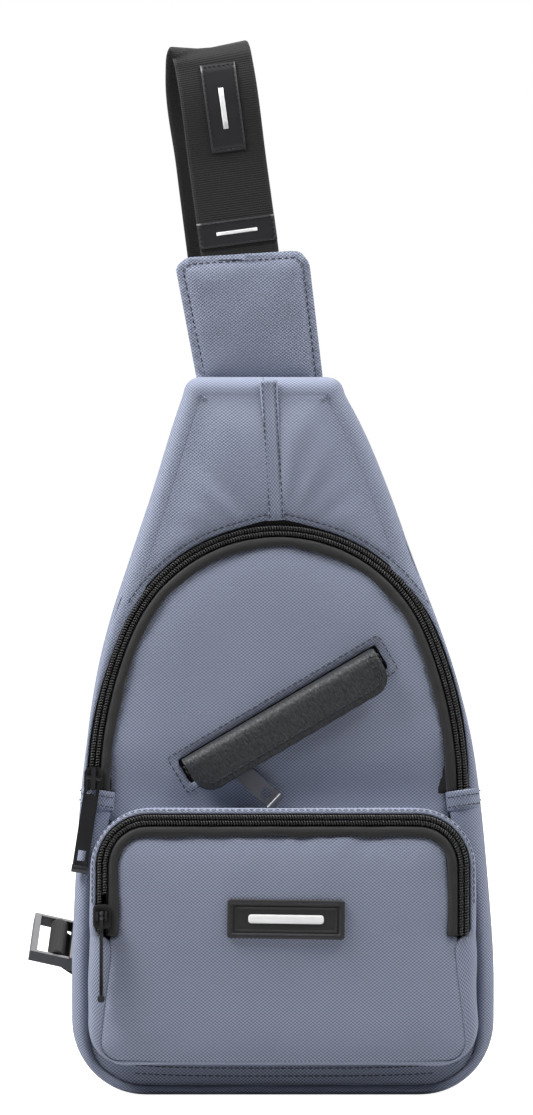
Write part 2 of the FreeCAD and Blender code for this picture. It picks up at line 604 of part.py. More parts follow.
loop = Part.makeBox(8.6, WEBBING, 7.8, V(9.2, -WEBBING / 2, -3.9)).cut(
    Part.makeBox(5.4, WEBBING + 2, 4.4, V(10.8, -WEBBING / 2 - 1, -2.2)))
strap = ribbon(STRAP_ROUTE).fuse(at_buckle(loop))
save("strap_webbing", strap)


def label_on_strap(width, low, high, shift):
    """A woven label on the front of the strap; low and high run up the strap from the pad."""
    area = rectangle(-width / 2, low, width / 2, high)
    area.translate(V(shift, 0, 0))
    area.rotate(V(0, 0, 0), V(0, 1, 0), -STRAP_LEAN)
    area.translate(V(-21.0, 0, 407))
    return slab(area, STRAP_Y - WEBBING_THICK / 2 - 0.9, STRAP_Y - WEBBING_THICK / 2 - GAP)


save("strap_band_label", label_on_strap(WEBBING, 3.5, 16, 0))
save("strap_tall_label", label_on_strap(17, 49, 92, 1.5))

# ---------------------------------------------------------------- buckle and its tab

socket_outer = Part.makeBox(26, 44, 9, V(-24, -22, -4.5))
cavity = Part.makeBox(24.2, 36, 5.4, V(-22, -18, -2.7))
windows = [Part.makeBox(13, 6, 5.4, V(-17, y, -2.7)) for y in (-23, 17)]
rails = [Part.makeBox(12, 2.6, 5, V(-36, y, -2.5)) for y in (-22, 19.4)]
anchor_bar = Part.makeBox(3.2, 44, 3.2, V(-36, -22, -1.6))
socket = socket_outer.fuse(rails + [anchor_bar]).cut(cavity)
for opening in windows:
    socket = socket.cut(opening)
save("buckle_socket", at_buckle(socket.removeSplitter()))

beam = Part.makeBox(4.4, 44, 7.0, V(2.6, -22, -3.5))
plug_rails = [Part.makeBox(20, 2.6, 5.4, V(6.6, y, -2.7)) for y in (-22, 19.4)]
middle_bar = Part.makeBox(3.0, 44, 3.2, V(12, -22, -1.6))
outer_bar = Part.makeBox(3.4, 44, 5.4, V(23.2, -22, -2.7))
guide = Part.makeBox(17, 8, 4.4, V(-14, -4, -2.2))
save("buckle_plug", at_buckle(beam.fuse(plug_rails + [middle_bar, outer_bar, guide]).removeSplitter()))

ARM_ROOT = 2.4
for name, sign in (("buckle_arm_near", -1), ("buckle_arm_far", 1)):
    inner, outer, pad = 12.6, 15.4, 21.2
    points = [(ARM_ROOT, inner), (ARM_ROOT, outer), (-3.6, outer + 0.4), (-5.2, pad), (-13.0, pad - 0.6),
              (-16.0, outer + 1.0), (-18.5, outer - 0.6), (-18.5, inner)]
    corners = [V(l, sign * w, -2.2) for l, w in points]
    arm = Part.Face(Part.makePolygon(corners + corners[:1])).extrude(V(0, 0, 4.4))
    save(name, at_buckle(arm))

flat_back = BACK_Y + GAP + 1.6
TAB_ROUTE = [
    (in_buckle(-45.3, 0, 0), across_buckle),
    ((-46.5, 43.0, 50.2), (0.14, 0.58, 0.80)),
    ((-38.5, 33.5, 48.4), (0.18, 0.25, 0.95)),
    ((-30, flat_back, 46.6), (0.20, 0, 0.98)),
    ((-6, flat_back, 41.5), (0.20, 0, 0.98)),
]
tab_loop = Part.makeBox(9.2, TAB_WIDTH, 7.4, V(-40.6, -TAB_WIDTH / 2, -3.7)).cut(
    Part.makeBox(6.2, TAB_WIDTH + 2, 4.4, V(-38.8, -TAB_WIDTH / 2 - 1, -2.2)))
tab_tongue = Part.makeBox(7.4, TAB_WIDTH - 0.6, 3.2, V(-46, -TAB_WIDTH / 2 + 0.3, -1.6))
save("anchor_tab", ribbon(TAB_ROUTE, 3.0, TAB_WIDTH - 1).fuse(at_buckle(tab_loop.fuse(tab_tongue))))
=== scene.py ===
import json
from math import atan2, cos, pi, radians, sin

import bmesh
import bpy
import numpy as np
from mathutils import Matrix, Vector
from mathutils.geometry import delaunay_2d_cdt

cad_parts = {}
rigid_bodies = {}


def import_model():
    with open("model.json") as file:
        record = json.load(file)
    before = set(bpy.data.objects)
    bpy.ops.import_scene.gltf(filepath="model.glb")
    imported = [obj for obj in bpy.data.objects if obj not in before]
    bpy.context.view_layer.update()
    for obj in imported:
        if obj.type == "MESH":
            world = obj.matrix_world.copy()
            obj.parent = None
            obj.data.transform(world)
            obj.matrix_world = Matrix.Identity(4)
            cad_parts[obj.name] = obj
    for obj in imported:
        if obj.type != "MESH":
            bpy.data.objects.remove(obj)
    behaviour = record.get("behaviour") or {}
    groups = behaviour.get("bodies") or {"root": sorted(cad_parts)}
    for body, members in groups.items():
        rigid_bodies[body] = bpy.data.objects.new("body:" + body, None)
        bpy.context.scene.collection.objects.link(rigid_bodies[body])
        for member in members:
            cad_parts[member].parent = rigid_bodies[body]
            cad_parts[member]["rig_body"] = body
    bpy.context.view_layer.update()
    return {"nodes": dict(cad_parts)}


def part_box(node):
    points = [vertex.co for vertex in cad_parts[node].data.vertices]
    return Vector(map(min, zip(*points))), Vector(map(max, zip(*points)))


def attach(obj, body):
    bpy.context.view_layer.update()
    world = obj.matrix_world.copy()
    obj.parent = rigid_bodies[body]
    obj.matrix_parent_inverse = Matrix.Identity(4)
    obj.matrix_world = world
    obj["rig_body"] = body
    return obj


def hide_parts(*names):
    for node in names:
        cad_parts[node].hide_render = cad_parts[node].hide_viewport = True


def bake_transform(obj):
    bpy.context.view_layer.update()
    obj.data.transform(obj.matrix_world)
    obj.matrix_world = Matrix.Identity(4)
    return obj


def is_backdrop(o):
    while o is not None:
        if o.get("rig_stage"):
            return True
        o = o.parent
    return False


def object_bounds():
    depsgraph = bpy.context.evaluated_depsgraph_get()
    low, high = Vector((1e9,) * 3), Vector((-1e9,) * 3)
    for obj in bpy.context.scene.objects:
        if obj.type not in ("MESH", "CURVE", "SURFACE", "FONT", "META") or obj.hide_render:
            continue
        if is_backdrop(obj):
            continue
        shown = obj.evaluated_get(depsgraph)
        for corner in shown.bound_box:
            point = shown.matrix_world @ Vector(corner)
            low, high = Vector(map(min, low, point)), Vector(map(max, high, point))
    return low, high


# Sling bag. Lengths are in millimetres until make() turns them into metres.
# The front's own axes are x across, v up the front and w out of it; the front leans back by TILT.

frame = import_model()
MM = 0.001

# ---------------------------------------------------------------- sizes, the same as the frame's

TILT = radians(5.0)
FRONT_Y, BACK_Y = -32.0, 28.0
BODY_HEIGHT = 346.0
BASE_HALF, BASE_CORNER, SHOULDER = 102.0, 36.0, 8.0
# Sides of the body: (height, half width)
LEFT_SIDE = ((61, 102.0), (104, 100.4), (147, 97.6), (170, 94.9), (190, 92.3), (210, 88.6),
             (230, 83.4), (260, 73.6), (289, 63.9), (325, 52.8), (338, 48.4))
RIGHT_SIDE = ((61, 102.0), (104, 99.2), (147, 95.0), (170, 91.6), (190, 87.0), (210, 81.2),
              (230, 74.2), (260, 62.6), (289, 52.3), (325, 37.0), (338, 30.0))
ARCH_X, ARCH_BASE, ARCH_HALF, ARCH_RISE, ARCH_SIDE_R = -2.2, 145.5, 89.2, 127.0, 200.0
CLOTH_EDGE = 3.3  # from the middle of a zip to the cloth outside it
BINDING_OUT = 7.6
SEAM_FOOT, SEAM_TOP = (-3.0, 276.0), (-7.0, 346.0)
ROLL = 9.5  # width of the roll of cloth along the sides, seen from the front

POCKET_DEPTH, POCKET_CROWN = 24.0, 2.6
ZIP_HALF, ZIP_TOP, ZIP_CORNER, ZIP_END = 86.4, 132.4, 22.0, 77.0

SLANT, SLANT_MIDDLE = radians(30.4), (0.0, 183.7)
WINDOW_LENGTH, WINDOW_WIDTH = 111.0, 13.0
FRAME_LENGTH, FRAME_WIDTH = 118.0, 19.5
WELT_LENGTH, WELT_DROP, WELT_TOP = 107.0, 21.4, 6.0

WEBBING, WEBBING_THICK = 38.0, 1.6
STRAP_LEAN, STRAP_Y = radians(7.7), 11.5
THREAD = 0.42


def front(x, v, w=0.0):
    """A point on the front's own axes, in the row frame."""
    x, v, w = np.broadcast_arrays(np.asarray(x, float), np.asarray(v, float), np.asarray(w, float))
    return np.stack([x, FRONT_Y - w * cos(TILT) + v * sin(TILT), w * sin(TILT) + v * cos(TILT)], axis=-1)


def lay(flat, height=0.0):
    """Flat points of the front, at a height out of it."""
    return front(flat[:, 0], flat[:, 1], height)


OUT = front(0, 0, 1) - front(0, 0, 0)

# ---------------------------------------------------------------- curves and meshes


def unit(a):
    return a / np.maximum(np.linalg.norm(a, axis=-1, keepdims=True), 1e-9)


def lengths(points):
    """The length along a line at each of its points."""
    steps = np.diff(np.asarray(points, float), axis=0)
    return np.concatenate([[0], np.cumsum(np.linalg.norm(steps, axis=1))])


def at_lengths(at, along, columns):
    """Rows of numbers known along a line, at other lengths."""
    return np.column_stack([np.interp(at, along, column) for column in np.asarray(columns, float).T])


def resample(points, step, closed=False):
    """The same line with evenly spaced points."""
    points = np.asarray(points, float)
    if closed:
        points = np.vstack([points, points[:1]])
    along = lengths(points)
    count = max(2, int(round(along[-1] / step)) + 1)
    at = np.linspace(0, along[-1], count)
    result = at_lengths(at, along, points)
    return result[:-1] if closed else result


def smooth_through(points, step):
    """A smooth line through the points, evenly divided."""
    p = np.asarray(points, float)
    t = lengths(p)
    slope = np.gradient(p, t, axis=0)
    u = np.linspace(0, 1, 14, endpoint=False)[:, None]
    spans = []
    for i in range(len(p) - 1):
        h = t[i + 1] - t[i]
        spans.append((2 * u**3 - 3 * u**2 + 1) * p[i] + (u**3 - 2 * u**2 + u) * h * slope[i]
                     + (3 * u**2 - 2 * u**3) * p[i + 1] + (u**3 - u**2) * h * slope[i + 1])
    return resample(np.vstack(spans + [p[-1:]]), step)


def tangents(path, closed=False):
    if closed:
        return unit(np.roll(path, -1, axis=0) - np.roll(path, 1, axis=0))
    return unit(np.gradient(path, axis=0))


def right_of(path, closed=False):
    """Directions to the right of a flat line as it runs."""
    t = tangents(path, closed)
    return np.column_stack([t[:, 1], -t[:, 0]])


def arc_points(centre, radius, start, end, count):
    a = np.linspace(radians(start), radians(end), count)
    return np.column_stack([centre[0] + radius * np.cos(a), centre[1] + radius * np.sin(a)])


def upright(flat, y):
    """Flat points of x and height, at a depth y."""
    return np.column_stack([flat[:, 0], np.broadcast_to(y, len(flat)), flat[:, 1]])


def turned(flat, middle, angle):
    """Flat points turned about the origin, which then moves to the middle."""
    x, y = flat.T
    return np.column_stack([middle[0] + x * cos(angle) - y * sin(angle),
                            middle[1] + x * sin(angle) + y * cos(angle)])


def round_box(length, width, corner):
    """A closed line round a rectangle with round corners, about the origin."""
    a, b = length / 2 - corner, width / 2 - corner
    return np.vstack([arc_points((x * a, y * b), corner, start, start + 90, 4)
                      for x, y, start in ((1, -1, -90), (1, 1, 0), (-1, 1, 90), (-1, -1, 180))])


def waves(x, y, size, seed):
    """A smooth uneven height between -1 and 1."""
    rng = np.random.default_rng(seed)
    total = 0.0
    for _ in range(7):
        turn, phase = rng.uniform(0, 2 * pi, 2)
        k = 2 * pi / size * rng.uniform(0.55, 1.5)
        total = total + np.sin(k * (x * cos(turn) + y * sin(turn)) + phase)
    return np.clip(total / 3.4, -1, 1)


def inside(points, loop):
    """Which points lie inside a closed flat line."""
    x, y = points[:, 0][:, None], points[:, 1][:, None]
    a, b = loop, np.roll(loop, -1, axis=0)
    crosses = (a[:, 1] > y) != (b[:, 1] > y)
    rise = np.where(np.abs(b[:, 1] - a[:, 1]) < 1e-12, 1e-12, b[:, 1] - a[:, 1])
    at = a[:, 0] + (y - a[:, 1]) / rise * (b[:, 0] - a[:, 0])
    return (crosses & (x < at)).sum(axis=1) % 2 == 1


def distance(points, line, closed=True):
    """How far points are from a flat line."""
    a = line if closed else line[:-1]
    b = np.roll(line, -1, axis=0) if closed else line[1:]
    nearest = np.full(len(points), np.inf)
    for p, q in zip(a, b):
        d = q - p
        t = np.clip(((points - p) @ d) / max(d @ d, 1e-12), 0, 1)
        nearest = np.minimum(nearest, np.linalg.norm(points - p - t[:, None] * d, axis=1))
    return nearest


def linked(name, data):
    """A new object in the scene."""
    made = bpy.data.objects.new(name, data)
    bpy.context.scene.collection.objects.link(made)
    return made


def make(name, points, faces, finish, uv=None):
    """A smooth-shaded mesh object. uv holds a length across the cloth for each point, in millimetres."""
    mesh = bpy.data.meshes.new(name)
    mesh.from_pydata((np.asarray(points) * MM).tolist(), [], [list(map(int, f)) for f in faces])
    mesh.update()
    if uv is not None:
        layer = mesh.uv_layers.new(name="cloth")
        corners = np.zeros(len(mesh.loops), int)
        mesh.loops.foreach_get("vertex_index", corners)
        layer.data.foreach_set("uv", (np.asarray(uv)[corners] * MM).ravel())
    mesh.shade_smooth()
    mesh.materials.append(finish)
    return linked(name, mesh)


def put(made, body, slot, *nodes):
    """Rides a piece on a body and hides the CAD nodes it stands for; slot is not used."""
    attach(made, body)
    if nodes:
        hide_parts(*nodes)
    return made


def across_lengths(rows):
    return np.cumsum(np.linalg.norm(np.diff(rows, axis=1, prepend=rows[:, :1]), axis=2), axis=1)


def grid(rows, ring=False, loop=False, capped=False):
    """Points, faces and cloth lengths of a grid of points (rows, columns, 3)."""
    n, m = rows.shape[:2]
    index = np.arange(n * m).reshape(n, m)
    faces = []
    for i in range(n if loop else n - 1):
        for j in range(m if ring else m - 1):
            i2, j2 = (i + 1) % n, (j + 1) % m
            faces.append((index[i, j], index[i, j2], index[i2, j2], index[i2, j]))
    if capped:
        faces += [tuple(index[0][::-1]), tuple(index[-1])]
    along = np.concatenate([[0], np.cumsum(np.linalg.norm(np.diff(rows, axis=0), axis=2).mean(axis=1))])
    across = across_lengths(rows)
    uv = np.stack([np.broadcast_to(along[:, None], across.shape), across], axis=-1).reshape(-1, 2)
    return rows.reshape(-1, 3), faces, uv


def swept(name, path, side, up, section, finish):
    """A section of (side, up) points carried along a path; sections may differ from point to point."""
    path, side, up = (np.asarray(a, float) for a in (path, side, up))
    side, up = np.broadcast_to(side, path.shape), np.broadcast_to(up, path.shape)
    section = np.asarray(section, float)
    section = np.broadcast_to(section, (len(path),) + section.shape[-2:])
    rows = path[:, None] + side[:, None] * section[..., :1] + up[:, None] * section[..., 1:]
    points, faces, uv = grid(rows, ring=True, capped=True)
    return make(name, points, faces, finish, uv)


def area_mesh(outer, holes=(), pitch=4.0):
    """Points and triangles filling a flat area, with its lines as edges."""
    loops = [resample(outer, pitch, True)] + [resample(h, pitch * 0.6, True) for h in holes]
    rim = np.vstack(loops)
    low, high = rim.min(axis=0), rim.max(axis=0)
    rows = np.arange(low[1], high[1], pitch * 0.87)
    fill = np.array([(x + (i % 2) * pitch / 2, y) for i, y in enumerate(rows)
                     for x in np.arange(low[0], high[0], pitch)])
    keep = inside(fill, loops[0])
    for loop in loops:
        keep &= distance(fill, loop) > pitch * 0.5
    for loop in loops[1:]:
        keep &= ~inside(fill, loop)
    fill = fill[keep]
    edges, start = [], 0
    for loop in loops:
        edges += [(start + i, start + (i + 1) % len(loop)) for i in range(len(loop))]
        start += len(loop)
    everything = np.vstack([rim, fill])
    made = delaunay_2d_cdt([Vector(p) for p in everything.tolist()], edges, [], 0, 1e-6)
    points = np.array([list(p) for p in made[0]])
    faces = np.array(made[2])
    middles = points[faces].mean(axis=1)
    good = inside(middles, loops[0])
    for loop in loops[1:]:
        good &= ~inside(middles, loop)
    return points, faces[good]


def thicken(made, amount):
    """Gives cloth its thickness, behind the face that shows."""
    layer = made.modifiers.new("thickness", "SOLIDIFY")
    layer.thickness, layer.offset = amount * MM, -1.0
    return made


def smoothed(made):
    layer = made.modifiers.new("smooth", "SUBSURF")
    layer.levels = layer.render_levels = 1
    return made


def facing(points, faces, way):
    """Triangles turned so that they face that way."""
    a, b, c = (points[f] for f in faces[:50].T)
    return faces[:, ::-1] if np.cross(b - a, c - a).sum(axis=0) @ way < 0 else faces


def front_sheet(name, outer, holes, height, finish, pitch=4.0, thickness=1.2):
    """Cloth over an area of the front; height(points) gives how far it stands out."""
    flat, faces = area_mesh(outer, holes, pitch)
    points = lay(flat, height(flat))
    made = make(name, points, facing(points, faces, OUT), finish, flat)
    return thicken(made, thickness) if thickness else made


# ---------------------------------------------------------------- materials


def node(tree, kind, *inputs, **settings):
    """Adds a shader node; inputs are values or other nodes' outputs, and the first output comes back."""
    made = tree.nodes.new("ShaderNode" + kind)
    for key, value in settings.items():
        setattr(made, key, value)
    for socket, value in zip(made.inputs, inputs):
        if isinstance(value, bpy.types.NodeSocket):
            tree.links.new(value, socket)
        elif value is not None:
            socket.default_value = value
    return made.outputs[0]


def maths(tree, operation, *inputs):
    return node(tree, "Math", *inputs, operation=operation)


def noise(tree, coords, scale, detail, stretch=(1, 1, 1)):
    placed = node(tree, "Mapping", coords, (0, 0, 0), (0, 0, 0), stretch)
    made = tree.nodes.new("ShaderNodeTexNoise")
    tree.links.new(placed, made.inputs["Vector"])
    made.inputs["Scale"].default_value = scale
    made.inputs["Detail"].default_value = detail
    return made.outputs[0]


def shade(tree, colour, amount):
    """A colour made darker or lighter by an amount around 1."""
    made = tree.nodes.new("ShaderNodeVectorMath")
    made.operation = "SCALE"
    made.inputs[0].default_value = colour
    tree.links.new(amount, made.inputs["Scale"])
    return made.outputs[0]


def surface(name, colour, roughness, pattern, bump, depth, metallic=0.0, sheen=0.0, specular=0.5):
    """A material whose pattern(tree) gives (brightness about 1, height 0 to 1, roughness added)."""
    made = bpy.data.materials.new(name)
    made.use_nodes = True
    tree = made.node_tree
    shader = tree.nodes["Principled BSDF"]
    brightness, height, rougher = pattern(tree)
    tree.links.new(shade(tree, colour, brightness), shader.inputs["Base Color"])
    relief = tree.nodes.new("ShaderNodeBump")
    relief.inputs["Strength"].default_value = bump
    relief.inputs["Distance"].default_value = depth
    tree.links.new(height, relief.inputs["Height"])
    tree.links.new(relief.outputs[0], shader.inputs["Normal"])
    tree.links.new(maths(tree, "ADD", rougher, roughness), shader.inputs["Roughness"])
    shader.inputs["Metallic"].default_value = metallic
    shader.inputs["Specular IOR Level"].default_value = specular
    shader.inputs["Sheen Weight"].default_value = sheen
    shader.inputs["Sheen Roughness"].default_value = 0.4
    return made


def cloth_uv(tree):
    return node(tree, "UVMap", uv_map="cloth")


def object_coords(tree):
    made = tree.nodes.new("ShaderNodeTexCoord")
    return made.outputs["Object"]


def parts_of(tree, coords):
    made = tree.nodes.new("ShaderNodeSeparateXYZ")
    tree.links.new(coords, made.inputs[0])
    return made.outputs


def cosine(tree, value, pitch):
    """A cosine of a length, with a pitch in millimetres."""
    return maths(tree, "COSINE", maths(tree, "MULTIPLY", value, 2 * pi / (pitch * MM)))


def spread(tree, value, low, high, from_low=0.0, from_high=1.0):
    made = tree.nodes.new("ShaderNodeMapRange")
    tree.links.new(value, made.inputs[0])
    for i, number in enumerate((from_low, from_high, low, high)):
        made.inputs[i + 1].default_value = number
    return made.outputs[0]


def weave(pitch_u, pitch_v, contrast, flat_axes=None):
    """Dots of yarn in a diamond lattice, uneven from place to place."""
    def pattern(tree):
        where = cloth_uv(tree) if flat_axes is None else object_coords(tree)
        axes = parts_of(tree, where)
        u, v = (axes[0], axes[1]) if flat_axes is None else (axes[flat_axes[0]], axes[flat_axes[1]])
        dots = maths(tree, "MULTIPLY", cosine(tree, v, pitch_v), cosine(tree, u, pitch_u))
        height = spread(tree, dots, 0, 1, -1, 1)
        yarn = noise(tree, where, 1400, 2)
        cloud = noise(tree, where, 22, 3)
        tone = maths(tree, "MULTIPLY", spread(tree, height, 1 - contrast, 1 + contrast * 0.75),
                     maths(tree, "MULTIPLY", spread(tree, yarn, 0.86, 1.14), spread(tree, cloud, 0.93, 1.07)))
        return tone, height, spread(tree, yarn, -0.06, 0.06)
    return pattern


def ribs(pitch_along, pitch_across, contrast):
    """Ribs across a tape, with finer yarns along it."""
    def pattern(tree):
        where = cloth_uv(tree)
        axes = parts_of(tree, where)
        rib = cosine(tree, axes[0], pitch_along)
        yarn = cosine(tree, axes[1], pitch_across)
        height = spread(tree, maths(tree, "MULTIPLY_ADD", yarn, 0.35, rib), 0, 1, -1.35, 1.35)
        cloud = noise(tree, where, 60, 3)
        tone = maths(tree, "MULTIPLY", spread(tree, height, 1 - contrast, 1 + contrast),
                     spread(tree, cloud, 0.9, 1.1))
        return tone, height, spread(tree, cloud, -0.05, 0.05)
    return pattern


def grain(tree):
    """Cross-cut leather: short creases in two directions over soft unevenness."""
    where = cloth_uv(tree)
    first = noise(tree, where, 1200, 3, (1, 0.25, 1))
    second = noise(tree, where, 1000, 3, (0.6, 0.45, 1))
    cut = maths(tree, "MINIMUM", spread(tree, first, 0, 1, 0.35, 0.6), spread(tree, second, 0, 1, 0.35, 0.6))
    cloud = noise(tree, where, 40, 2)
    tone = maths(tree, "MULTIPLY", spread(tree, cut, 0.55, 1.4), spread(tree, cloud, 0.85, 1.15))
    return tone, cut, spread(tree, cut, 0.12, -0.08)


def moulded(size, edge_rub_and_hollow_shade):
    """Fine unevenness of a moulded or cast surface, its edges rubbed a little lighter and its hollows
    darkened with painted shade.
    """
    def pattern(tree):
        where = object_coords(tree)
        fine = noise(tree, where, size, 3)
        cloud = noise(tree, where, 90, 2)
        edge = tree.nodes.new("ShaderNodeNewGeometry").outputs["Pointiness"]
        # Pointiness: convex edges lighter as rubbed edges, hollows darker as painted shade.
        edges_rubbed_hollows_shaded = spread(tree, edge, 1 - edge_rub_and_hollow_shade * 0.4, 1 + edge_rub_and_hollow_shade, 0.46, 0.56)
        tone = maths(tree, "MULTIPLY", edges_rubbed_hollows_shaded, spread(tree, cloud, 0.93, 1.07))
        return tone, fine, spread(tree, cloud, -0.07, 0.07)
    return pattern


SLATE = (0.215, 0.240, 0.318)
slate = surface("slate_fabric", SLATE, 0.82, weave(1.9, 1.5, 0.65), 0.6, 0.0003, sheen=0.12, specular=0.25)
lining = surface("lining_fabric", (0.06, 0.064, 0.078), 0.75, weave(0.5, 0.5, 0.2), 0.2, 0.0001, sheen=0.1)
foam = surface("foam", (0.14, 0.14, 0.14), 0.95, moulded(700, 0.1), 0.5, 0.0004)
mesh_cloth = surface("spacer_mesh", (0.035, 0.035, 0.04), 0.85, weave(3.0, 2.6, 0.7, (0, 2)), 0.9, 0.0008,
                     sheen=0.2)
tape = surface("zip_tape", (0.012, 0.012, 0.0125), 0.8, ribs(0.7, 0.5, 0.35), 0.35, 0.0001,
               sheen=0.05, specular=0.3)
binding_cloth = surface("zip_binding", (0.0175, 0.0172, 0.0175), 0.72, ribs(0.55, 0.8, 0.3), 0.4, 0.00012,
                        sheen=0.12, specular=0.35)
coil_plastic = surface("zip_coil", (0.02, 0.02, 0.02), 0.36, moulded(900, 0.4), 0.1, 0.00005)
black_metal = surface("black_metal", (0.014, 0.014, 0.015), 0.3, moulded(500, 1.6), 0.12, 0.00006, 0.35)
gunmetal = surface("gunmetal", (0.068, 0.07, 0.078), 0.42, moulded(500, 1.0), 0.15, 0.00008, 0.6)
leather = surface("black_leather", (0.019, 0.020, 0.023), 0.5, grain, 0.8, 0.0003, specular=0.4)
rubber = surface("black_rubber", (0.012, 0.012, 0.013), 0.55, moulded(600, 0.5), 0.2, 0.0001)
pale_rubber = surface("pale_rubber", (0.8, 0.8, 0.8), 0.5, moulded(600, 0.05), 0.1, 0.0001)
strap_cloth = surface("webbing", (0.0115, 0.0108, 0.0115), 0.7, ribs(1.1, 0.9, 0.3), 0.5, 0.0002, sheen=0.06,
                      specular=0.35)
label_cloth = surface("label", (0.009, 0.009, 0.011), 0.5, ribs(0.45, 0.45, 0.25), 0.2, 0.00008, sheen=0.1)
buckle_plastic = surface("buckle_plastic", (0.035, 0.036, 0.041), 0.3, moulded(400, 0.6), 0.12, 0.00008)
thread = surface("thread", (0.012, 0.013, 0.022), 0.7, moulded(1500, 0.2), 0.2, 0.00005)

# ---------------------------------------------------------------- stitches, zips and hard pieces


def stitches(name, path, up, body, length=2.4, gap=0.8, width=THREAD):
    """A row of thread along a line that lies on cloth; up is the way the cloth faces."""
    path = np.asarray(path, float)
    along = lengths(path)
    up = np.broadcast_to(np.asarray(up, float), path.shape)
    starts = np.arange(gap, along[-1] - length, length + gap)
    share = np.array([0.0, 0.16, 0.5, 0.84, 1.0])
    rise = np.array([-0.28, 0.12, 0.24, 0.12, -0.28])  # it dips into the cloth at both ends
    girth = np.array([0.45, 1.0, 1.0, 1.0, 0.45])
    at = (starts[:, None] + share * length).ravel()
    faces_up = unit(at_lengths(at, along, up))
    side = unit(np.cross(at_lengths(at, along, tangents(path)), faces_up))
    centre = at_lengths(at, along, path) + faces_up * np.tile(rise, len(starts))[:, None]
    girth = np.tile(girth, len(starts))[:, None] * width / 2
    corners = [centre + way * girth for way in (side, faces_up, -side, -faces_up)]
    points = np.stack(corners, axis=1).reshape(-1, 3)
    faces = []
    for base in range(0, len(points), 4 * len(share)):
        for ring in range(base, base + 16, 4):
            faces += [(ring + j, ring + (j + 1) % 4, ring + 4 + (j + 1) % 4, ring + 4 + j) for j in range(4)]
        faces += [(base + 3, base + 2, base + 1, base), (base + 16, base + 17, base + 18, base + 19)]
    return put(make(name, points, faces, thread), body, "slate_fabric")


def directions(ways):
    """Flat directions on the front, as directions in the row frame."""
    return lay(ways) - front(0, 0)


def coil(name, flat, centre, height, body, cad):
    """One of a zip's two coils: a wire wound along the line, flattened, its middle beside the line."""
    pitch, turn_points, wire = 1.3, 10, 0.36
    half_wide, half_high, slant = 0.92, 0.82, 0.3
    even = resample(flat, pitch / turn_points)
    angle = 2 * pi * np.arange(len(even)) / turn_points
    side, ways = -right_of(even), tangents(even)
    reach = centre + half_wide * np.cos(angle)
    lean = slant * np.sin(angle) * pitch
    path = lay(even + side * reach[:, None] + ways * lean[:, None], height + half_high * np.sin(angle))
    t = tangents(path)
    one = unit(np.cross(t, unit(directions(ways))))
    ring = 2 * pi * np.arange(5) / 5
    section = wire * np.column_stack([np.cos(ring), np.sin(ring)])
    put(swept(name, path, one, np.cross(t, one), section, coil_plastic), body, "zip_coil", cad)


def flat_tape(name, flat, near, far, low, high, body, cad):
    """The tape beside a zip's line, between two distances outside it."""
    near, far = np.broadcast_to(near, len(flat)), np.broadcast_to(far, len(flat))
    section = np.stack([np.column_stack([reach, np.full(len(flat), level)]) for reach, level in (
        (near, low), (far, low), (far, high), (near, high))], axis=1)
    put(swept(name, lay(flat), directions(-right_of(flat)), OUT, section, tape), body, "zip_tape", cad)


def zip_half(name, half, line, near, far, level, body, coil_line=None):
    """One half of a zip: its tape between two distances from the line, and its coil on the same side."""
    coil_out = 1.3 * np.sign(np.mean(far + near))
    flat_tape("%s_tape_%s" % (name, half), line, near, far, level - 2.6, level - 1.6, body,
              "%s_zip_tape_%s" % (name, half))
    coil("%s_coil_%s" % (name, half), line if coil_line is None else coil_line, coil_out, level - 0.45, body,
         "%s_zip_coil_%s" % (name, half))


def binding(name, flat, height, body, cad, seed):
    """The raised strip of folded tape inside a zip; its inner edge wanders a little."""
    roll = np.array([(-3.1, -1.2), (-3.2, 0.0), (-3.6, 0.55), (-4.2, 0.85), (-5.6, 1.05), (-6.9, 0.9),
                     (-7.7, 0.2), (-8.0, -1.2)])
    count = len(flat)
    position = np.arange(count) * 2.5
    wander = 0.5 * waves(position, position * 0, 24, seed)
    lift = 0.22 * waves(position, position * 0, 15, seed + 1)
    section = np.repeat(roll[None], count, axis=0)
    share = np.clip((-roll[:, 0] - 2.6) / 5.2, 0, 1)
    section[..., 0] += wander[:, None] * share
    section[..., 1] += lift[:, None] * np.sin(share * pi)
    made = swept(name, lay(flat, height), directions(-right_of(flat)), OUT, section, binding_cloth)
    put(made, body, "zip_tape", cad)


def bevelled(made, width, segments, angle):
    bevel = made.modifiers.new("edges", "BEVEL")
    bevel.width, bevel.segments = width * MM, segments
    bevel.limit_method, bevel.angle_limit = "ANGLE", radians(angle)


def rounded_edges(cad, finish, slot, width, segments=2):
    """A hard piece with its edges rounded, standing for its CAD node."""
    source = frame["nodes"][cad]
    bm = bmesh.new()
    bm.from_mesh(source.data)
    bmesh.ops.remove_doubles(bm, verts=bm.verts, dist=1e-6)
    bmesh.ops.dissolve_limit(bm, angle_limit=radians(1.5), verts=bm.verts, edges=bm.edges)
    mesh = bpy.data.meshes.new(cad + "_solid")
    bm.to_mesh(mesh)
    bm.free()
    mesh.shade_smooth()
    mesh.materials.append(finish)
    made = linked(cad + "_finished", mesh)
    bevelled(made, width, segments, 28)
    made.modifiers.new("shading", "WEIGHTED_NORMAL").keep_sharp = True
    put(made, source["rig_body"], slot, cad)


# ---------------------------------------------------------------- body


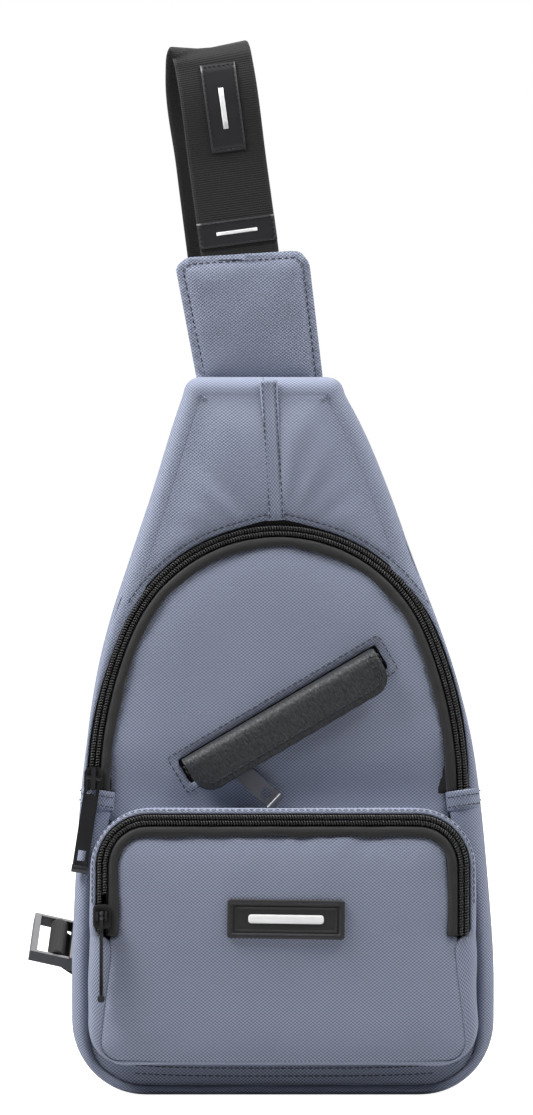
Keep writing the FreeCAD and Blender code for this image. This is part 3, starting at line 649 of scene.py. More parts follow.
def outline():
    """Line round the body from the middle of its top, down the left side first, and the ways out of it."""
    corner = BASE_HALF - BASE_CORNER
    right = smooth_through([(BASE_HALF, BASE_CORNER)] + [(half, z) for z, half in RIGHT_SIDE], 3.0)
    left = smooth_through([(BASE_HALF, BASE_CORNER)] + [(half, z) for z, half in LEFT_SIDE], 3.0) * (-1, 1)
    shoulder = BODY_HEIGHT - SHOULDER
    right_top, left_top = RIGHT_SIDE[-1][1] - SHOULDER, -LEFT_SIDE[-1][1] + SHOULDER
    line = np.vstack([
        [((right_top + left_top) / 2, BODY_HEIGHT)],
        arc_points((left_top, shoulder), SHOULDER, 90, 180, 8),
        left[::-1][1:],
        arc_points((-corner, BASE_CORNER), BASE_CORNER, 180, 270, 24)[1:],
        arc_points((corner, BASE_CORNER), BASE_CORNER, -90, 0, 24),
        right[1:],
        arc_points((right_top, shoulder), SHOULDER, 0, 90, 8)[1:],
    ])
    line = resample(line, 2.6, True)
    return line, right_of(line, True)


LINE, LINE_OUT = outline()
# How the cloth of the side turns: (inset, depth) from the front, then from the back
ROLL_FRONT = [(ROLL, 2.2), (9.2, 0.2), (8.3, -1.7), (6.8, -2.9), (5.0, -3.1), (3.2, -2.3), (1.6, -0.3),
              (0.6, 2.7), (0.1, 6.6), (0.0, 11.0)]
SMOOTH_FRONT = [(12.0, 0.5), (9.6, 0.0), (7.4, -0.05), (5.6, 0.1), (3.9, 0.7), (2.4, 1.9), (1.2, 3.7),
                (0.5, 5.8), (0.1, 8.2), (0.0, 11.0)]
TURN_BACK = [(0.0, 12.0), (0.1, 7.0), (0.9, 3.2), (2.5, 0.9), (5.0, 0.0), (7.0, 0.4)]


def front_y(z):
    return FRONT_Y + z * sin(TILT) / cos(TILT)


def side_wall(name, keep, turn_front, wide, body, node_name, sag_seed):
    """The cloth of the sides over one stretch of the outline; wide scales the turn's insets."""
    line, out, wide = LINE[keep], LINE_OUT[keep], wide[keep][:, None]
    depth = BACK_Y - front_y(line[:, 1])
    rows = []
    for inset, back in turn_front:
        spot = line - out * inset * wide
        rows.append(upright(spot, front_y(spot[:, 1]) + back))
    first, last = turn_front[-1][1], TURN_BACK[0][1]
    for share in (0.25, 0.5, 0.75):
        inset = 0.3 * sin(share * pi) + 0.2 * waves(line[:, 0], line[:, 1], 60, sag_seed)
        spot = line - out * np.maximum(inset, 0.0)[:, None]
        rows.append(upright(spot, front_y(line[:, 1]) + first + share * (depth - first - last)))
    for inset, ahead in TURN_BACK:
        spot = line - out * inset
        rows.append(upright(spot, BACK_Y - ahead))
    rows = np.stack(rows, axis=1)
    points, faces, _ = grid(rows)
    uv = rows[:, :1][..., [0, 2]] / (1, cos(TILT)) + out[:, None] * across_lengths(rows)[..., None]
    made = make(name, points, faces, slate, uv.reshape(-1, 2))
    return put(thicken(smoothed(made), 1.2), body, "slate_fabric", node_name)


def ease(a):
    a = np.clip(a, 0, 1)
    return a * a * (3 - 2 * a)


lower = np.where(LINE[:, 1] < 145.4)[0]
left_part = np.arange(0, lower[0] + 1)
right_part = np.concatenate([np.arange(lower[-1], len(LINE)), [0]])


def arch(offset, step=2.5):
    """The main zip's line grown by offset, from its left foot over the top to its right foot."""
    side_x = ARCH_SIDE_R - ARCH_HALF
    top_r = (ARCH_SIDE_R**2 - side_x**2 - ARCH_RISE**2) / (2 * (ARCH_SIDE_R - ARCH_RISE))
    top = ARCH_BASE + ARCH_RISE - top_r
    turn = atan2(top - ARCH_BASE, side_x) * 180 / pi
    return resample(np.vstack([
        arc_points((ARCH_X + side_x, ARCH_BASE), ARCH_SIDE_R + offset, 180, 180 - turn, 40),
        arc_points((ARCH_X, top), top_r + offset, 180 - turn, turn, 70)[1:],
        arc_points((ARCH_X - side_x, ARCH_BASE), ARCH_SIDE_R + offset, turn, 0, 40)[1:],
    ]), step)


# The roll is wider at the flap's feet and narrower along the base; the upper cloth leaves the zip free
LOWER_WIDE = 1 + 0.72 * ease((LINE[:, 1] - 98) / 42) - 0.45 * ease((38 - LINE[:, 1]) / 30)
UPPER_WIDE = np.clip((distance(LINE / (1, cos(TILT)), arch(CLOTH_EDGE), False) - 0.5) / 9.0, 0.07, 1)
side_wall("lower_gusset_cloth", lower, ROLL_FRONT, LOWER_WIDE, "bag", "lower_gusset", 3)
side_wall("upper_side_left", left_part, SMOOTH_FRONT, UPPER_WIDE, "bag", "upper_panel_left", 5)
side_wall("upper_side_right", right_part, SMOOTH_FRONT, UPPER_WIDE, "bag", "upper_panel_right", 7)
UPPER_EDGE = (LINE - LINE_OUT * 9.0 * UPPER_WIDE[:, None]) / (1, cos(TILT))
PANEL_EDGE = (LINE - LINE_OUT * (ROLL + 0.2) * LOWER_WIDE[:, None]) / (1, cos(TILT))


def cloth_edge(offset):
    """The cloth's edge outside the zip, drawn up a little where it meets the centre seam."""
    edge = arch(offset)
    edge[:, 1] += 2.2 * np.exp(-((edge[:, 0] - SEAM_FOOT[0]) / 13) ** 2) * (edge[:, 1] > 200)
    return edge


def seam_x(v):
    return SEAM_FOOT[0] + (v - SEAM_FOOT[1]) / (SEAM_TOP[1] - SEAM_FOOT[1]) * (SEAM_TOP[0] - SEAM_FOOT[0])


def upper_height(p):
    """Soft swell of the upper cloth between the zip, the sides and the centre seam."""
    from_zip = distance(p, cloth_edge(CLOTH_EDGE), False)
    from_side = distance(p, UPPER_EDGE)
    from_seam = np.abs(p[:, 0] - seam_x(p[:, 1]))
    inward = 1 - np.exp(-(from_side / 13) ** 2)
    swell = 3.2 * (1 - np.exp(-from_zip / 7)) * inward * (0.45 + 0.55 * (1 - np.exp(-from_seam / 9)))
    fan = waves(np.arctan2(p[:, 1] - 262, p[:, 0] + 3) * 60, p[:, 1] * 0.12, 26, 11)
    tuck = 1.5 * np.exp(-from_zip / 0.7)
    return 0.12 + swell + 1.1 * fan * (1 - np.exp(-from_zip / 9)) * inward - tuck


def upper_front(name, sign, node_name):
    """The front of one upper panel: from the zip to the side, and up to the top."""
    zip_edge, side = cloth_edge(CLOTH_EDGE), UPPER_EDGE
    crest = np.argmin(np.abs(zip_edge[:, 0] - SEAM_FOOT[0]) - (zip_edge[:, 1] > 200) * 500)
    if sign < 0:
        near, outer = zip_edge[:crest + 1][::-1], side[left_part][::-1]
    else:
        near, outer = zip_edge[crest:], side[right_part]
    top = (seam_x(BODY_HEIGHT), side[0, 1])
    outer = outer[(outer[:, 0] - seam_x(BODY_HEIGHT)) * sign > 0.5]
    made = front_sheet(name, np.vstack([near, outer, [top]]), (), upper_height, slate, 3.0, 0)
    return put(made, "bag", "slate_fabric", node_name)


upper_front("upper_panel_left_cloth", -1, "upper_panel_left")
upper_front("upper_panel_right_cloth", 1, "upper_panel_right")


def seam_strip():
    """The centre seam, a folded strip between two rows of stitches."""
    v = np.linspace(277.5, 345.5, 40)
    flat = np.column_stack([seam_x(v), v])
    right_half = [(0.3, 0.95), (1.4, 1.25), (3.9, 0.9), (4.3, 0.0)]
    section = [(-x, y) for x, y in reversed(right_half)] + right_half
    height = upper_height(flat)
    across = directions(right_of(flat))
    made = swept("centre_seam_cloth", lay(flat, height - 0.2), across, OUT, section, slate)
    put(made, "bag", "slate_fabric", "centre_seam_strip")
    for side in (-3.2, 3.2):
        stitches("centre_seam_thread_" + ("left" if side < 0 else "right"),
                 lay(flat + (side, 0), height + 1.0), OUT, "bag")


seam_strip()
zip_row = cloth_edge(CLOTH_EDGE + 2.4)
zip_row = zip_row[zip_row[:, 1] > 236]
stitches("upper_zip_thread", lay(zip_row, upper_height(zip_row) + 0.06), OUT, "bag")


def lower_height(p):
    return -0.2 + 0.5 * waves(p[:, 0], p[:, 1], 70, 21) * (1 - np.exp(-distance(p, PANEL_EDGE) / 6))


panel_area = PANEL_EDGE[PANEL_EDGE[:, 1] < 137.0]
panel_mesh = front_sheet("lower_front_cloth", panel_area, (), lower_height, slate, 5.0)
put(panel_mesh, "bag", "slate_fabric", "lower_front_panel")
for level in (9.6, 13.4):
    x = np.linspace(-72, 72, 80)
    v = level + 1.5 * (x / 72) ** 4
    stitches("lower_thread_%d" % level, front(x, v, 0.5), OUT, "bag")

# ---------------------------------------------------------------- main zip and flap

chain = arch(0.0)
tape_room = np.clip(distance(chain, LINE / (1, cos(TILT))) - 1.8, 2.6, 10.0)
zip_half("main", "outer", chain, 0.4, tape_room, 0.0, "bag")
zip_half("main", "inner", chain, -12.0, -0.4, 0.0, "main_flap")
binding("main_binding", chain, 0.0, "main_flap", "main_zip_binding", 31)


def slanted(flat):
    """Flat points placed along and across the slanted pocket."""
    return turned(flat, SLANT_MIDDLE, SLANT)


window = slanted(round_box(WINDOW_LENGTH, WINDOW_WIDTH, 0.8))


def flap_height(p):
    """It swells inside its binding, lies flat round the slanted pocket and sinks above the front pocket."""
    edge = distance(p, arch(-BINDING_OUT), False)
    turn = np.arctan2(p[:, 1] - 165, p[:, 0]) * 75
    swell = -0.9 + 2.2 * (1 - np.exp(-edge / 9)) + 0.5 * np.exp(-edge / 6) * waves(turn, turn * 0, 22, 41)
    hollow = -2.4 * np.exp(-((p[:, 1] - 147) / 13) ** 2) * (1 - (p[:, 0] / 100) ** 4)
    loose = 0.5 * waves(p[:, 0], p[:, 1], 75, 43) * (1 - np.exp(-edge / 15))
    from_window = 1 - np.exp(-distance(p, window) / 10)
    return 0.1 + (swell + hollow + loose - 0.1) * from_window


def flap_cloth():
    edge = arch(-BINDING_OUT + 0.5, 2.8)
    foot = 132.0
    area = np.vstack([edge, [(edge[-1, 0], foot), (edge[0, 0], foot)]])
    made = front_sheet("main_flap_cloth", area, [window], flap_height, slate, 3.2)
    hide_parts("main_flap_panel")
    tuple(front(0, 134, 6) * MM)
    tuple(front(0, 147, 6) * MM)
    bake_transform(made)


flap_cloth()
frame_row = slanted(round_box(FRAME_LENGTH, FRAME_WIDTH, 1.2))
frame_row = resample(np.vstack([frame_row, frame_row[:1]]), 1.5)
stitches("slant_frame_thread", lay(frame_row, flap_height(frame_row) + 0.08), OUT, "main_flap")

# ---------------------------------------------------------------- slanted pocket

half_chain = WINDOW_LENGTH / 2 - 1.0
slant_line = slanted(np.column_stack([np.linspace(-half_chain, half_chain, 60), np.zeros(60)]))
zip_half("slant", "upper", slant_line, 0.4, 9.0, 0.0, "main_flap")
zip_half("slant", "lower", slant_line, -9.0, -0.4, 0.0, "main_flap")


def leather_welt():
    """The leather flap over the slanted zip: its top edge is tucked in, and it lies over the slider."""
    half, corner = WELT_LENGTH / 2, 9.5
    low = WELT_TOP - WELT_DROP

    def sides(inset, top, count):
        """The welt's line down its left end, along its lower edge and up its right end."""
        return np.vstack([
            [(-half + inset, top)],
            arc_points((-half + corner, low + corner), corner - inset, 180, 270, count),
            arc_points((half - corner, low + corner), corner - inset, -90, 0, count),
            [(half - inset, top)],
        ])

    flat, faces = area_mesh(sides(0.0, WELT_TOP, 12), (), 2.2)

    def height(s, n):
        tucked = 1 - np.exp(-np.maximum(WELT_TOP - n, 0) / 1.5)
        ends = 1 - 0.42 * np.exp(-np.maximum(half + s, 0) / 6) - 0.04 * np.exp(-np.maximum(half - s, 0) / 6)
        return 0.5 + (6.7 + 0.18 * waves(s, n, 55, 51)) * tucked * ends

    made = make("leather_welt", lay(slanted(flat), height(*flat.T)), faces, leather, flat)
    bevelled(thicken(made, 1.1), 0.4, 2, 50)
    put(made, "welt", "black_leather", "welt_flap")
    seam = resample(sides(3.4, WELT_TOP - 1.5, 10), 1.2)
    stitches("welt_thread", lay(slanted(seam), height(*seam.T) + 0.06), OUT, "welt", 2.3, 0.9, 0.5)


leather_welt()
rounded_edges("slant_pull", gunmetal, "gunmetal", 0.28)
for cad, width in (("slant_slider", 0.3), ("main_slider", 0.35), ("main_pull", 0.3),
                   ("pocket_slider", 0.3), ("pocket_pull", 0.3)):
    rounded_edges(cad, black_metal, "black_metal", width)


def end_tab(side, way, stations):
    """The turned-in cloth that closes the zip's foot, lying over the roll, with its two rows of thread."""
    turn = [(1.02 * ROLL, 0.9)] + ROLL_FRONT[1:9]

    def row(level, lift):
        half = np.interp(level, [z for z, _ in stations], [h for _, h in stations])
        wide = 1 + 0.72 * ease((level - 98) / 42)
        return np.array([front(way * (half - inset * wide), level + 2.4 * (1 - inset / ROLL), lift - back)
                         for inset, back in turn])

    levels = ((136.6, 0.2), (137.0, 0.75), (139.0, 0.85), (141.5, 0.85),
              (144.0, 0.85), (145.6, 0.75), (146.0, 0.2))
    rows = np.stack([row(level, lift) for level, lift in levels])
    points, faces, uv = grid(rows)
    made = make("end_tab_cloth_" + side, points, faces if way > 0 else [f[::-1] for f in faces], slate, uv)
    put(thicken(smoothed(made), 0.7), "bag", "slate_fabric", "zip_end_tab_" + side)
    for level in (138.6, 143.2):
        line = resample(row(level, 1.0), 1.2)
        lean = np.column_stack([way * np.linspace(0, 2.5, len(line)), np.zeros(len(line))])
        away = unit(upright(lean, -1.0))
        stitches("end_tab_thread_%s_%d" % (side, level), line, away, "bag", 2.0, 0.7)


end_tab("left", -1, LEFT_SIDE)
end_tab("right", 1, RIGHT_SIDE)

# Two rows of thread round the sides, where the upper cloth is sewn over the lower
for side, way, stations in (("left", -1, LEFT_SIDE), ("right", 1, RIGHT_SIDE)):
    for level in (141.0, 145.5):
        half = np.interp(level, [z for z, _ in stations], [h for _, h in stations])
        depth = BACK_Y - front_y(level)
        wall = [(half + 0.05, front_y(level) + d) for d in (7.0, 11.0)]
        wall += [(half - 0.9, front_y(level) + d) for d in (20.0, depth - 16.0)]
        wall += [(half - inset, BACK_Y - ahead) for inset, ahead in TURN_BACK[:4]]
        wall = resample(wall, 1.5)
        line = np.column_stack([way * wall[:, 0], wall[:, 1], np.full(len(wall), level)])
        away = unit(np.column_stack([line[:, 0] - way * 88, line[:, 1] * 0.35, line[:, 2] * 0]))
        stitches("side_thread_%s_%d" % (side, level), line + away * 0.35, away, "bag", 2.2, 0.7)

# ---------------------------------------------------------------- front pocket

pocket_chain = resample(np.vstack([
    [(-ZIP_HALF, ZIP_END)],
    arc_points((-ZIP_HALF + ZIP_CORNER, ZIP_TOP - ZIP_CORNER), ZIP_CORNER, 180, 90, 24),
    arc_points((ZIP_HALF - ZIP_CORNER, ZIP_TOP - ZIP_CORNER), ZIP_CORNER, 90, 0, 24),
    [(ZIP_HALF, ZIP_END)],
]), 2.5)


def zip_side(offset):
    return pocket_chain - right_of(pocket_chain) * offset


def face_edge():
    """The crease round the pocket's front: outside the zip above, and set in below it."""
    right = smooth_through([(83.2, 76.8), (82.2, 72.0), (83.0, 60.0), (85.0, 44.0), (86.9, 28.0)], 2.5)
    corner = arc_points((77.9, 27.0), 9.0, 0, -90, 9)[1:]
    low = resample([(76, 17.9), (40, 17.3), (-40, 17.3), (-76, 17.9)], 2.5)
    left = arc_points((-77.9, 27.0), 9.0, 270, 180, 9)[:-1]
    return np.vstack([right, corner, low, left, right[::-1] * (-1, 1)])


FACE_LOOP = np.vstack([zip_side(-BINDING_OUT + 0.3), face_edge()])


def face_height(p):
    """The pocket's front swells from its crease, with slack near the binding."""
    edge = distance(p, FACE_LOOP)
    turn = np.arctan2(p[:, 1] - 75, p[:, 0]) * 70
    slack = 0.45 * np.exp(-edge / 7) * waves(turn, turn * 0, 24, 61) * np.clip((p[:, 1] - 60) / 20, 0, 1)
    swell = POCKET_CROWN * (1 - np.exp(-edge / 8))
    loose = 0.55 * waves(p[:, 0], p[:, 1], 80, 63) * (1 - np.exp(-edge / 14))
    return POCKET_DEPTH - 0.5 + swell + slack + loose


def pocket_face():
    made = front_sheet("pocket_face_cloth", FACE_LOOP, (), face_height, slate, 3.0)
    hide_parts("pocket_lower_face", "pocket_upper_face")
    tuple(front(0, 69, 24) * MM)
    tuple(front(0, 80, 24) * MM)
    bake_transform(made)


def matched_loop(low_half, high_half, bottom, bottom_r, top, top_r):
    """A closed line from the middle of the bottom to the right; the points of two such lines pair up."""
    n_low, n_corner, n_side, n_turn, n_top = 26, 12, 40, 14, 30
    low_x = np.linspace(0, low_half - bottom_r, n_low, endpoint=False)
    low = np.column_stack([low_x, np.full(n_low, bottom)])
    corner = arc_points((low_half - bottom_r, bottom + bottom_r), bottom_r, -90, 0, n_corner)
    v = np.linspace(bottom + bottom_r, top - top_r, n_side + 2)[1:-1]
    side = np.column_stack([np.interp(v, *high_half), v])
    turn = arc_points((high_half[1][-1] - top_r, top - top_r), top_r, 0, 90, n_turn)
    crest = np.column_stack([np.linspace(high_half[1][-1] - top_r, 0, n_top + 1)[1:], np.full(n_top, top)])
    half = np.vstack([low, corner, side, turn, crest])
    return np.vstack([half, half[::-1][1:-1] * (-1, 1)])


def pocket_side():
    """The cloth round the pocket, from its crease back to the bag, swelling a little on the way."""
    crease = ((26.0, 44.0, 60.0, 72.0, 75.6, 78.4, 110.0), (86.9, 85.0, 83.0, 82.2, 83.4, 89.6, 89.6))
    inner = matched_loop(86.9, crease, 17.4, 9.0, ZIP_TOP + CLOTH_EDGE - 0.1, 25.1)
    base = matched_loop(92.4, ((32.0, 120.0), (92.8, 92.4)), 15.6, 18.0, 138.2, 29.0)
    away = right_of(inner, True)
    gap = np.linalg.norm(base - inner, axis=1)
    wavy = waves(inner[:, 0], inner[:, 1], 45, 71)
    rows = []
    for share in (-0.06, 0.0, 0.08, 0.22, 0.42, 0.66, 0.86, 1.0, 1.04):
        angle = min(max(share, 0.0), 1.0) * pi / 2
        sharp = 0.62
        out = sin(angle) ** sharp
        height = POCKET_DEPTH * (cos(angle) ** sharp if angle < pi / 2 else 0.0)
        spot = inner + (base - inner) * out
        bulge = (1.0 + 0.5 * wavy) * sin(2 * angle) * np.clip(gap / 8, 0.3, 1.3)
        spot = spot + away * bulge[:, None]
        if share < 0:
            spot, height = inner - away * 0.35, POCKET_DEPTH - 1.3
        if share > 1:
            spot, height = base + away * 0.2, -1.0
        rows.append(lay(spot, height))
    points, faces, uv = grid(np.stack(rows, axis=1), loop=True)
    made = make("pocket_side_cloth", points, faces, slate, uv)
    put(thicken(smoothed(made), 1.0), "bag", "slate_fabric", "pocket_gusset")
    ledge = zip_side(CLOTH_EDGE + 1.5)[6:-6]
    stitches("pocket_ledge_thread", lay(ledge, POCKET_DEPTH - 0.5), OUT, "bag", 2.2, 0.8)


pocket_face()
pocket_side()
clear_of_slider = pocket_chain[(pocket_chain[:, 0] > 0) | (pocket_chain[:, 1] > 95)]
zip_half("pocket", "outer", pocket_chain, 0.4, 2.8, POCKET_DEPTH, "bag")
zip_half("pocket", "inner", pocket_chain, -11.0, -1.9, POCKET_DEPTH, "pocket_flap", clear_of_slider)
binding("pocket_binding", pocket_chain, POCKET_DEPTH, "pocket_flap", "pocket_zip_binding", 81)


def patch():
    """Moulded rubber patch: a raised rim round a sunken field, with a plain pale bar."""
    middle = (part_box("rubber_patch")[0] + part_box("rubber_patch")[1]) / 2 / MM
    place = (middle.x, middle.z / cos(TILT) - 24.0 * sin(TILT) / cos(TILT) - 0.2)
    lift = POCKET_DEPTH + POCKET_CROWN - 0.7
    turn = radians(-0.8)

    def block(length, width, levels):
        """A block's grid from its (inset, height) steps."""
        rows = []
        for inset, height in levels:
            line = round_box(length - 2 * inset, width - 2 * inset, max(1.4 - inset * 0.5, 0.4))
            rows.append(lay(turned(line, place, turn), lift + height))
        return grid(np.stack(rows), ring=True, capped=True)

    points, faces, uv = block(56.0, 18.8, [
        (0, 0), (0, 1.6), (0.25, 2.0), (0.7, 2.15), (1.9, 2.15), (2.3, 1.95), (2.6, 1.35),
        (3.0, 1.2), (3.3, 1.2), (3.6, 1.55), (3.9, 1.55), (4.2, 1.2), (5.0, 1.2)])
    put(make("patch_rubber", points, faces, rubber, uv), "pocket_flap", "black_rubber", "rubber_patch")
    points, faces, uv = block(36.0, 4.2, [(0, 1.1), (0, 1.6), (0.3, 1.8), (1.2, 1.8)])
    put(make("patch_bar", points, faces, pale_rubber, uv), "pocket_flap", "black_rubber")
    a, b = 52.6 / 2, 15.4 / 2
    line = turned(resample([(-a, -b), (a, -b), (a, b), (-a, b), (-a, -b)], 0.8), place, turn)
    stitches("patch_thread", lay(line, lift + 2.2), OUT, "pocket_flap", 1.7, 0.9, 0.4)


patch()

# ---------------------------------------------------------------- strap base, strap and buckle

PAD_AREA = np.array([(-41, 340.0), (20.2, 340.0), (13, 402.0), (8, 407.6), (-47, 404.2), (-52.3, 399.6)])
PAD_MIDDLE_Y = 11.75


def swell(made, pressure, cap, held):
    """Fills a closed piece like a cushion by cloth simulation, moving no point further than cap."""
    scene = bpy.context.scene
    mesh = made.data
    count = len(mesh.vertices)
    before = np.zeros(count * 3)
    mesh.vertices.foreach_get("co", before)
    before = before.reshape(-1, 3)
    group = made.vertex_groups.new(name="held")
    for i in np.where(held > 0.01)[0]:
        group.add([int(i)], float(held[i]), "REPLACE")
    cloth = made.modifiers.new("fill", "CLOTH")
    settings = cloth.settings
    settings.quality = 6
    settings.mass = 0.25
    settings.tension_stiffness = settings.compression_stiffness = settings.shear_stiffness = 12
    settings.bending_stiffness = 0.4
    settings.use_pressure = True
    settings.uniform_pressure_force = pressure
    settings.effector_weights.gravity = 0.0
    settings.vertex_group_mass = "held"
    settings.pin_stiffness = 1.0
    cloth.collision_settings.use_collision = False
    for step in range(1, 21):
        scene.frame_set(step)
    shape = made.evaluated_get(bpy.context.evaluated_depsgraph_get()).data
    after = np.zeros(count * 3)
    shape.vertices.foreach_get("co", after)
    moved = after.reshape(-1, 3) - before
    length = np.linalg.norm(moved, axis=1, keepdims=True)
    moved *= np.minimum(1.0, cap * MM / np.maximum(length, 1e-9))
    made.modifiers.remove(cloth)
    mesh.vertices.foreach_set("co", (before + moved * (1 - held[:, None])).ravel())
    mesh.update()
    scene.frame_set(1)


def pillow(name, area, middle_y, half_at, finish, pitch, seed):
    """A sewn pad standing in the plane of x and z: two faces that meet at the edge."""
    flat, faces = area_mesh(area, (), pitch)
    rim = resample(area, pitch, True)
    edge = distance(flat, rim)
    half = half_at(edge) + 0.25 * waves(flat[:, 0], flat[:, 1], 30, seed) * np.clip(edge / 8, 0, 1)
    ahead, behind = upright(flat, middle_y - half), upright(flat, middle_y + half)
    count, order = len(flat), len(rim)
    faces = facing(ahead, faces, (0, -1, 0))
    sides = [(i, i + count, (i + 1) % order + count, (i + 1) % order) for i in range(order)]
    everything = list(map(tuple, faces)) + [tuple(f[::-1] + count) for f in faces] + sides
    made = make(name, np.vstack([ahead, behind]), everything, finish, np.vstack([flat, flat]))
    bm = bmesh.new()
    bm.from_mesh(made.data)
    bmesh.ops.recalc_face_normals(bm, faces=bm.faces)
    bm.to_mesh(made.data)
    bm.free()
    return made, np.concatenate([edge, edge])


def strap_base():
    area = []
    for i in range(len(PAD_AREA)):
        before, here, after = PAD_AREA[i - 1], PAD_AREA[i], PAD_AREA[(i + 1) % len(PAD_AREA)]
        cut = 1.6
        area += [here + (before - here) / np.linalg.norm(before - here) * cut,
                 here + (after - here) / np.linalg.norm(after - here) * cut]
    area = np.array(area)

    def half_at(edge):
        channel = 0.55 * np.exp(-((edge - 3.2) / 0.8) ** 2)
        return 1.25 + 2.3 * (1 - np.exp(-np.maximum(edge - 2.6, 0) / 4.5)) - channel

    made, edge = pillow("strap_base_pad", area, PAD_MIDDLE_Y, half_at, slate, 2.4, 91)
    swell(made, 3.0, 1.1, np.clip(1.25 - np.maximum(edge - 2.0, 0) / 6, 0, 1))
    put(made, "bag", "slate_fabric", "strap_pad_front", "strap_pad_back")
    core_area = np.array([(-34, 345.0), (13.5, 345.0), (7.5, 396.0), (-44.5, 393.0)])
    core, _ = pillow("strap_base_core", core_area, PAD_MIDDLE_Y,
                     lambda edge: 0.3 + 1.4 * (1 - np.exp(-edge / 4)), foam, 4.0, 95)
    put(core, "bag", "foam", "strap_pad_foam")
    inner = resample(np.array([(-37.2, 343.0), (-48.7, 398.2), (-45.2, 401.0), (6.6, 404.2), (10.0, 400.4),
                               (16.6, 343.0)]), 1.5)
    stitches("strap_base_thread", upright(inner, PAD_MIDDLE_Y - 1.5), (0, -1, 0), "bag", 2.4, 0.8)


strap_base()

STRAIGHT_ACROSS = (cos(STRAP_LEAN), 0, sin(STRAP_LEAN))
ROUTE = [  # middle of the strap, and the way across it
    ((-19.8, STRAP_Y, 398), STRAIGHT_ACROSS),
    ((-21.0, STRAP_Y, 407), STRAIGHT_ACROSS),
    ((-26.6, STRAP_Y, 448), STRAIGHT_ACROSS),
    ((-33.2, STRAP_Y, 496), STRAIGHT_ACROSS),
    ((-34.5, 13.0, 502.5), STRAIGHT_ACROSS),
    ((-36.0, 17.5, 506), STRAIGHT_ACROSS),
    ((-37.8, 22.5, 502.5), STRAIGHT_ACROSS),
    ((-38.4, 25.5, 494), STRAIGHT_ACROSS),
    ((-33.5, 33, 452), STRAIGHT_ACROSS),
    ((-27.0, 43, 400), STRAIGHT_ACROSS),
    ((-20.0, 54, 345), (1, 0, 0.10)),
    ((-15.5, 61, 295), (1, 0, 0.05)),
    ((-12.0, 64, 245), (0.97, 0.25, 0)),
    ((-8.5, 64, 200), (0.80, 0.60, 0)),
    ((-5.5, 62, 158), (0.45, 0.90, 0)),
    ((-3.0, 60, 118), (0.12, 1, 0)),
    ((-3.0, 58, 84), (0, 1, 0)),
    ((-8.5, 57, 58), (0, 1, 0.05)),
    ((-24, 57.5, 42), (0, 1, 0.15)),
    ((-46, 59, 39), (0.05, 0.93, 0.35)),
]

# Buckle's own axes: length, width and normal, from its middle
BUCKLE_AT = np.array((-98.7, 53.0, 62.8))
LENGTHWAYS = unit(np.array((-0.96, -0.06, 0.22)))
WIDTHWAYS = np.array((0.06, 0.94, 0.33))
WIDTHWAYS = unit(WIDTHWAYS - LENGTHWAYS * (WIDTHWAYS @ LENGTHWAYS))
NORMAL = np.cross(LENGTHWAYS, WIDTHWAYS)


def in_buckle(length, width, normal):
    return BUCKLE_AT + LENGTHWAYS * length + WIDTHWAYS * width + NORMAL * normal


def ribbon(name, centres, across, thickness, width):
    """Webbing through points: a thin oval-edged section that turns with the way across."""
    path = smooth_through(centres, 1.5)
    ends = lengths(centres)
    at = np.linspace(0, ends[-1], len(path))
    wide = at_lengths(at, ends, across)
    t = tangents(path)
    wide = unit(wide - t * (wide * t).sum(axis=1, keepdims=True))
    thick = np.cross(t, wide)
    half, deep = width / 2, thickness / 2
    flat_run = (-half + 0.5, -half + 2.4, -half * 0.5, 0, half * 0.5, half - 2.4, half - 0.5)
    near = [(-half, -deep * 0.4)] + [(x, -deep) for x in flat_run] + [(half, -deep * 0.4)]
    profile = np.array(near + [(-x, -y) for x, y in near])
    return swept(name, path, wide, thick, profile, strap_cloth)


def strap():
    route = [c for c, _ in ROUTE] + [in_buckle(-28, 0, 13.0), in_buckle(-10, 0, 10.0), in_buckle(4, 0, 6.0),
                                     in_buckle(10.4, 0, 3.2)]
    across = [a for _, a in ROUTE] + [WIDTHWAYS] * 4
    made = ribbon("strap_ribbon", route, across, WEBBING_THICK, WEBBING)
    put(made, "bag", "webbing", "strap_webbing")
    turn = np.linspace(-0.15, 2 * pi - 0.9, 26)
    loop = np.array([in_buckle(13.5 + 3.4 * cos(a) * 1.05, 0, 3.1 * sin(a)) for a in turn + pi / 2])
    made = ribbon("strap_end_loop", loop, [WIDTHWAYS] * len(loop), 1.4, WEBBING - 0.4)
    put(made, "bag", "webbing")


strap()
front_run = smooth_through([c for c, _ in ROUTE], 1.5)
front_run = front_run[:np.argmax(front_run[:, 2])]


def on_strap(across, along, above):
    """A point on the front of the strap, measured from the pad's top edge."""
    z = 407.0 + along * cos(STRAP_LEAN) + across * sin(STRAP_LEAN)
    x = -21.0 - along * sin(STRAP_LEAN) + across * cos(STRAP_LEAN)
    middle = z - across * sin(STRAP_LEAN)
    return np.array((x, np.interp(middle, front_run[:, 2], front_run[:, 1]) - WEBBING_THICK / 2 - above, z))


def strap_sheet(name, middle, half, low, high, above, counts, finish, thickness):
    """A small sheet on the front of the strap."""
    rows = np.stack([[on_strap(x, v, above) for x in np.linspace(middle - half, middle + half, counts[0])]
                     for v in np.linspace(low, high, counts[1])])
    points, faces, uv = grid(rows)
    return thicken(make(name, points, faces, finish, uv), thickness)


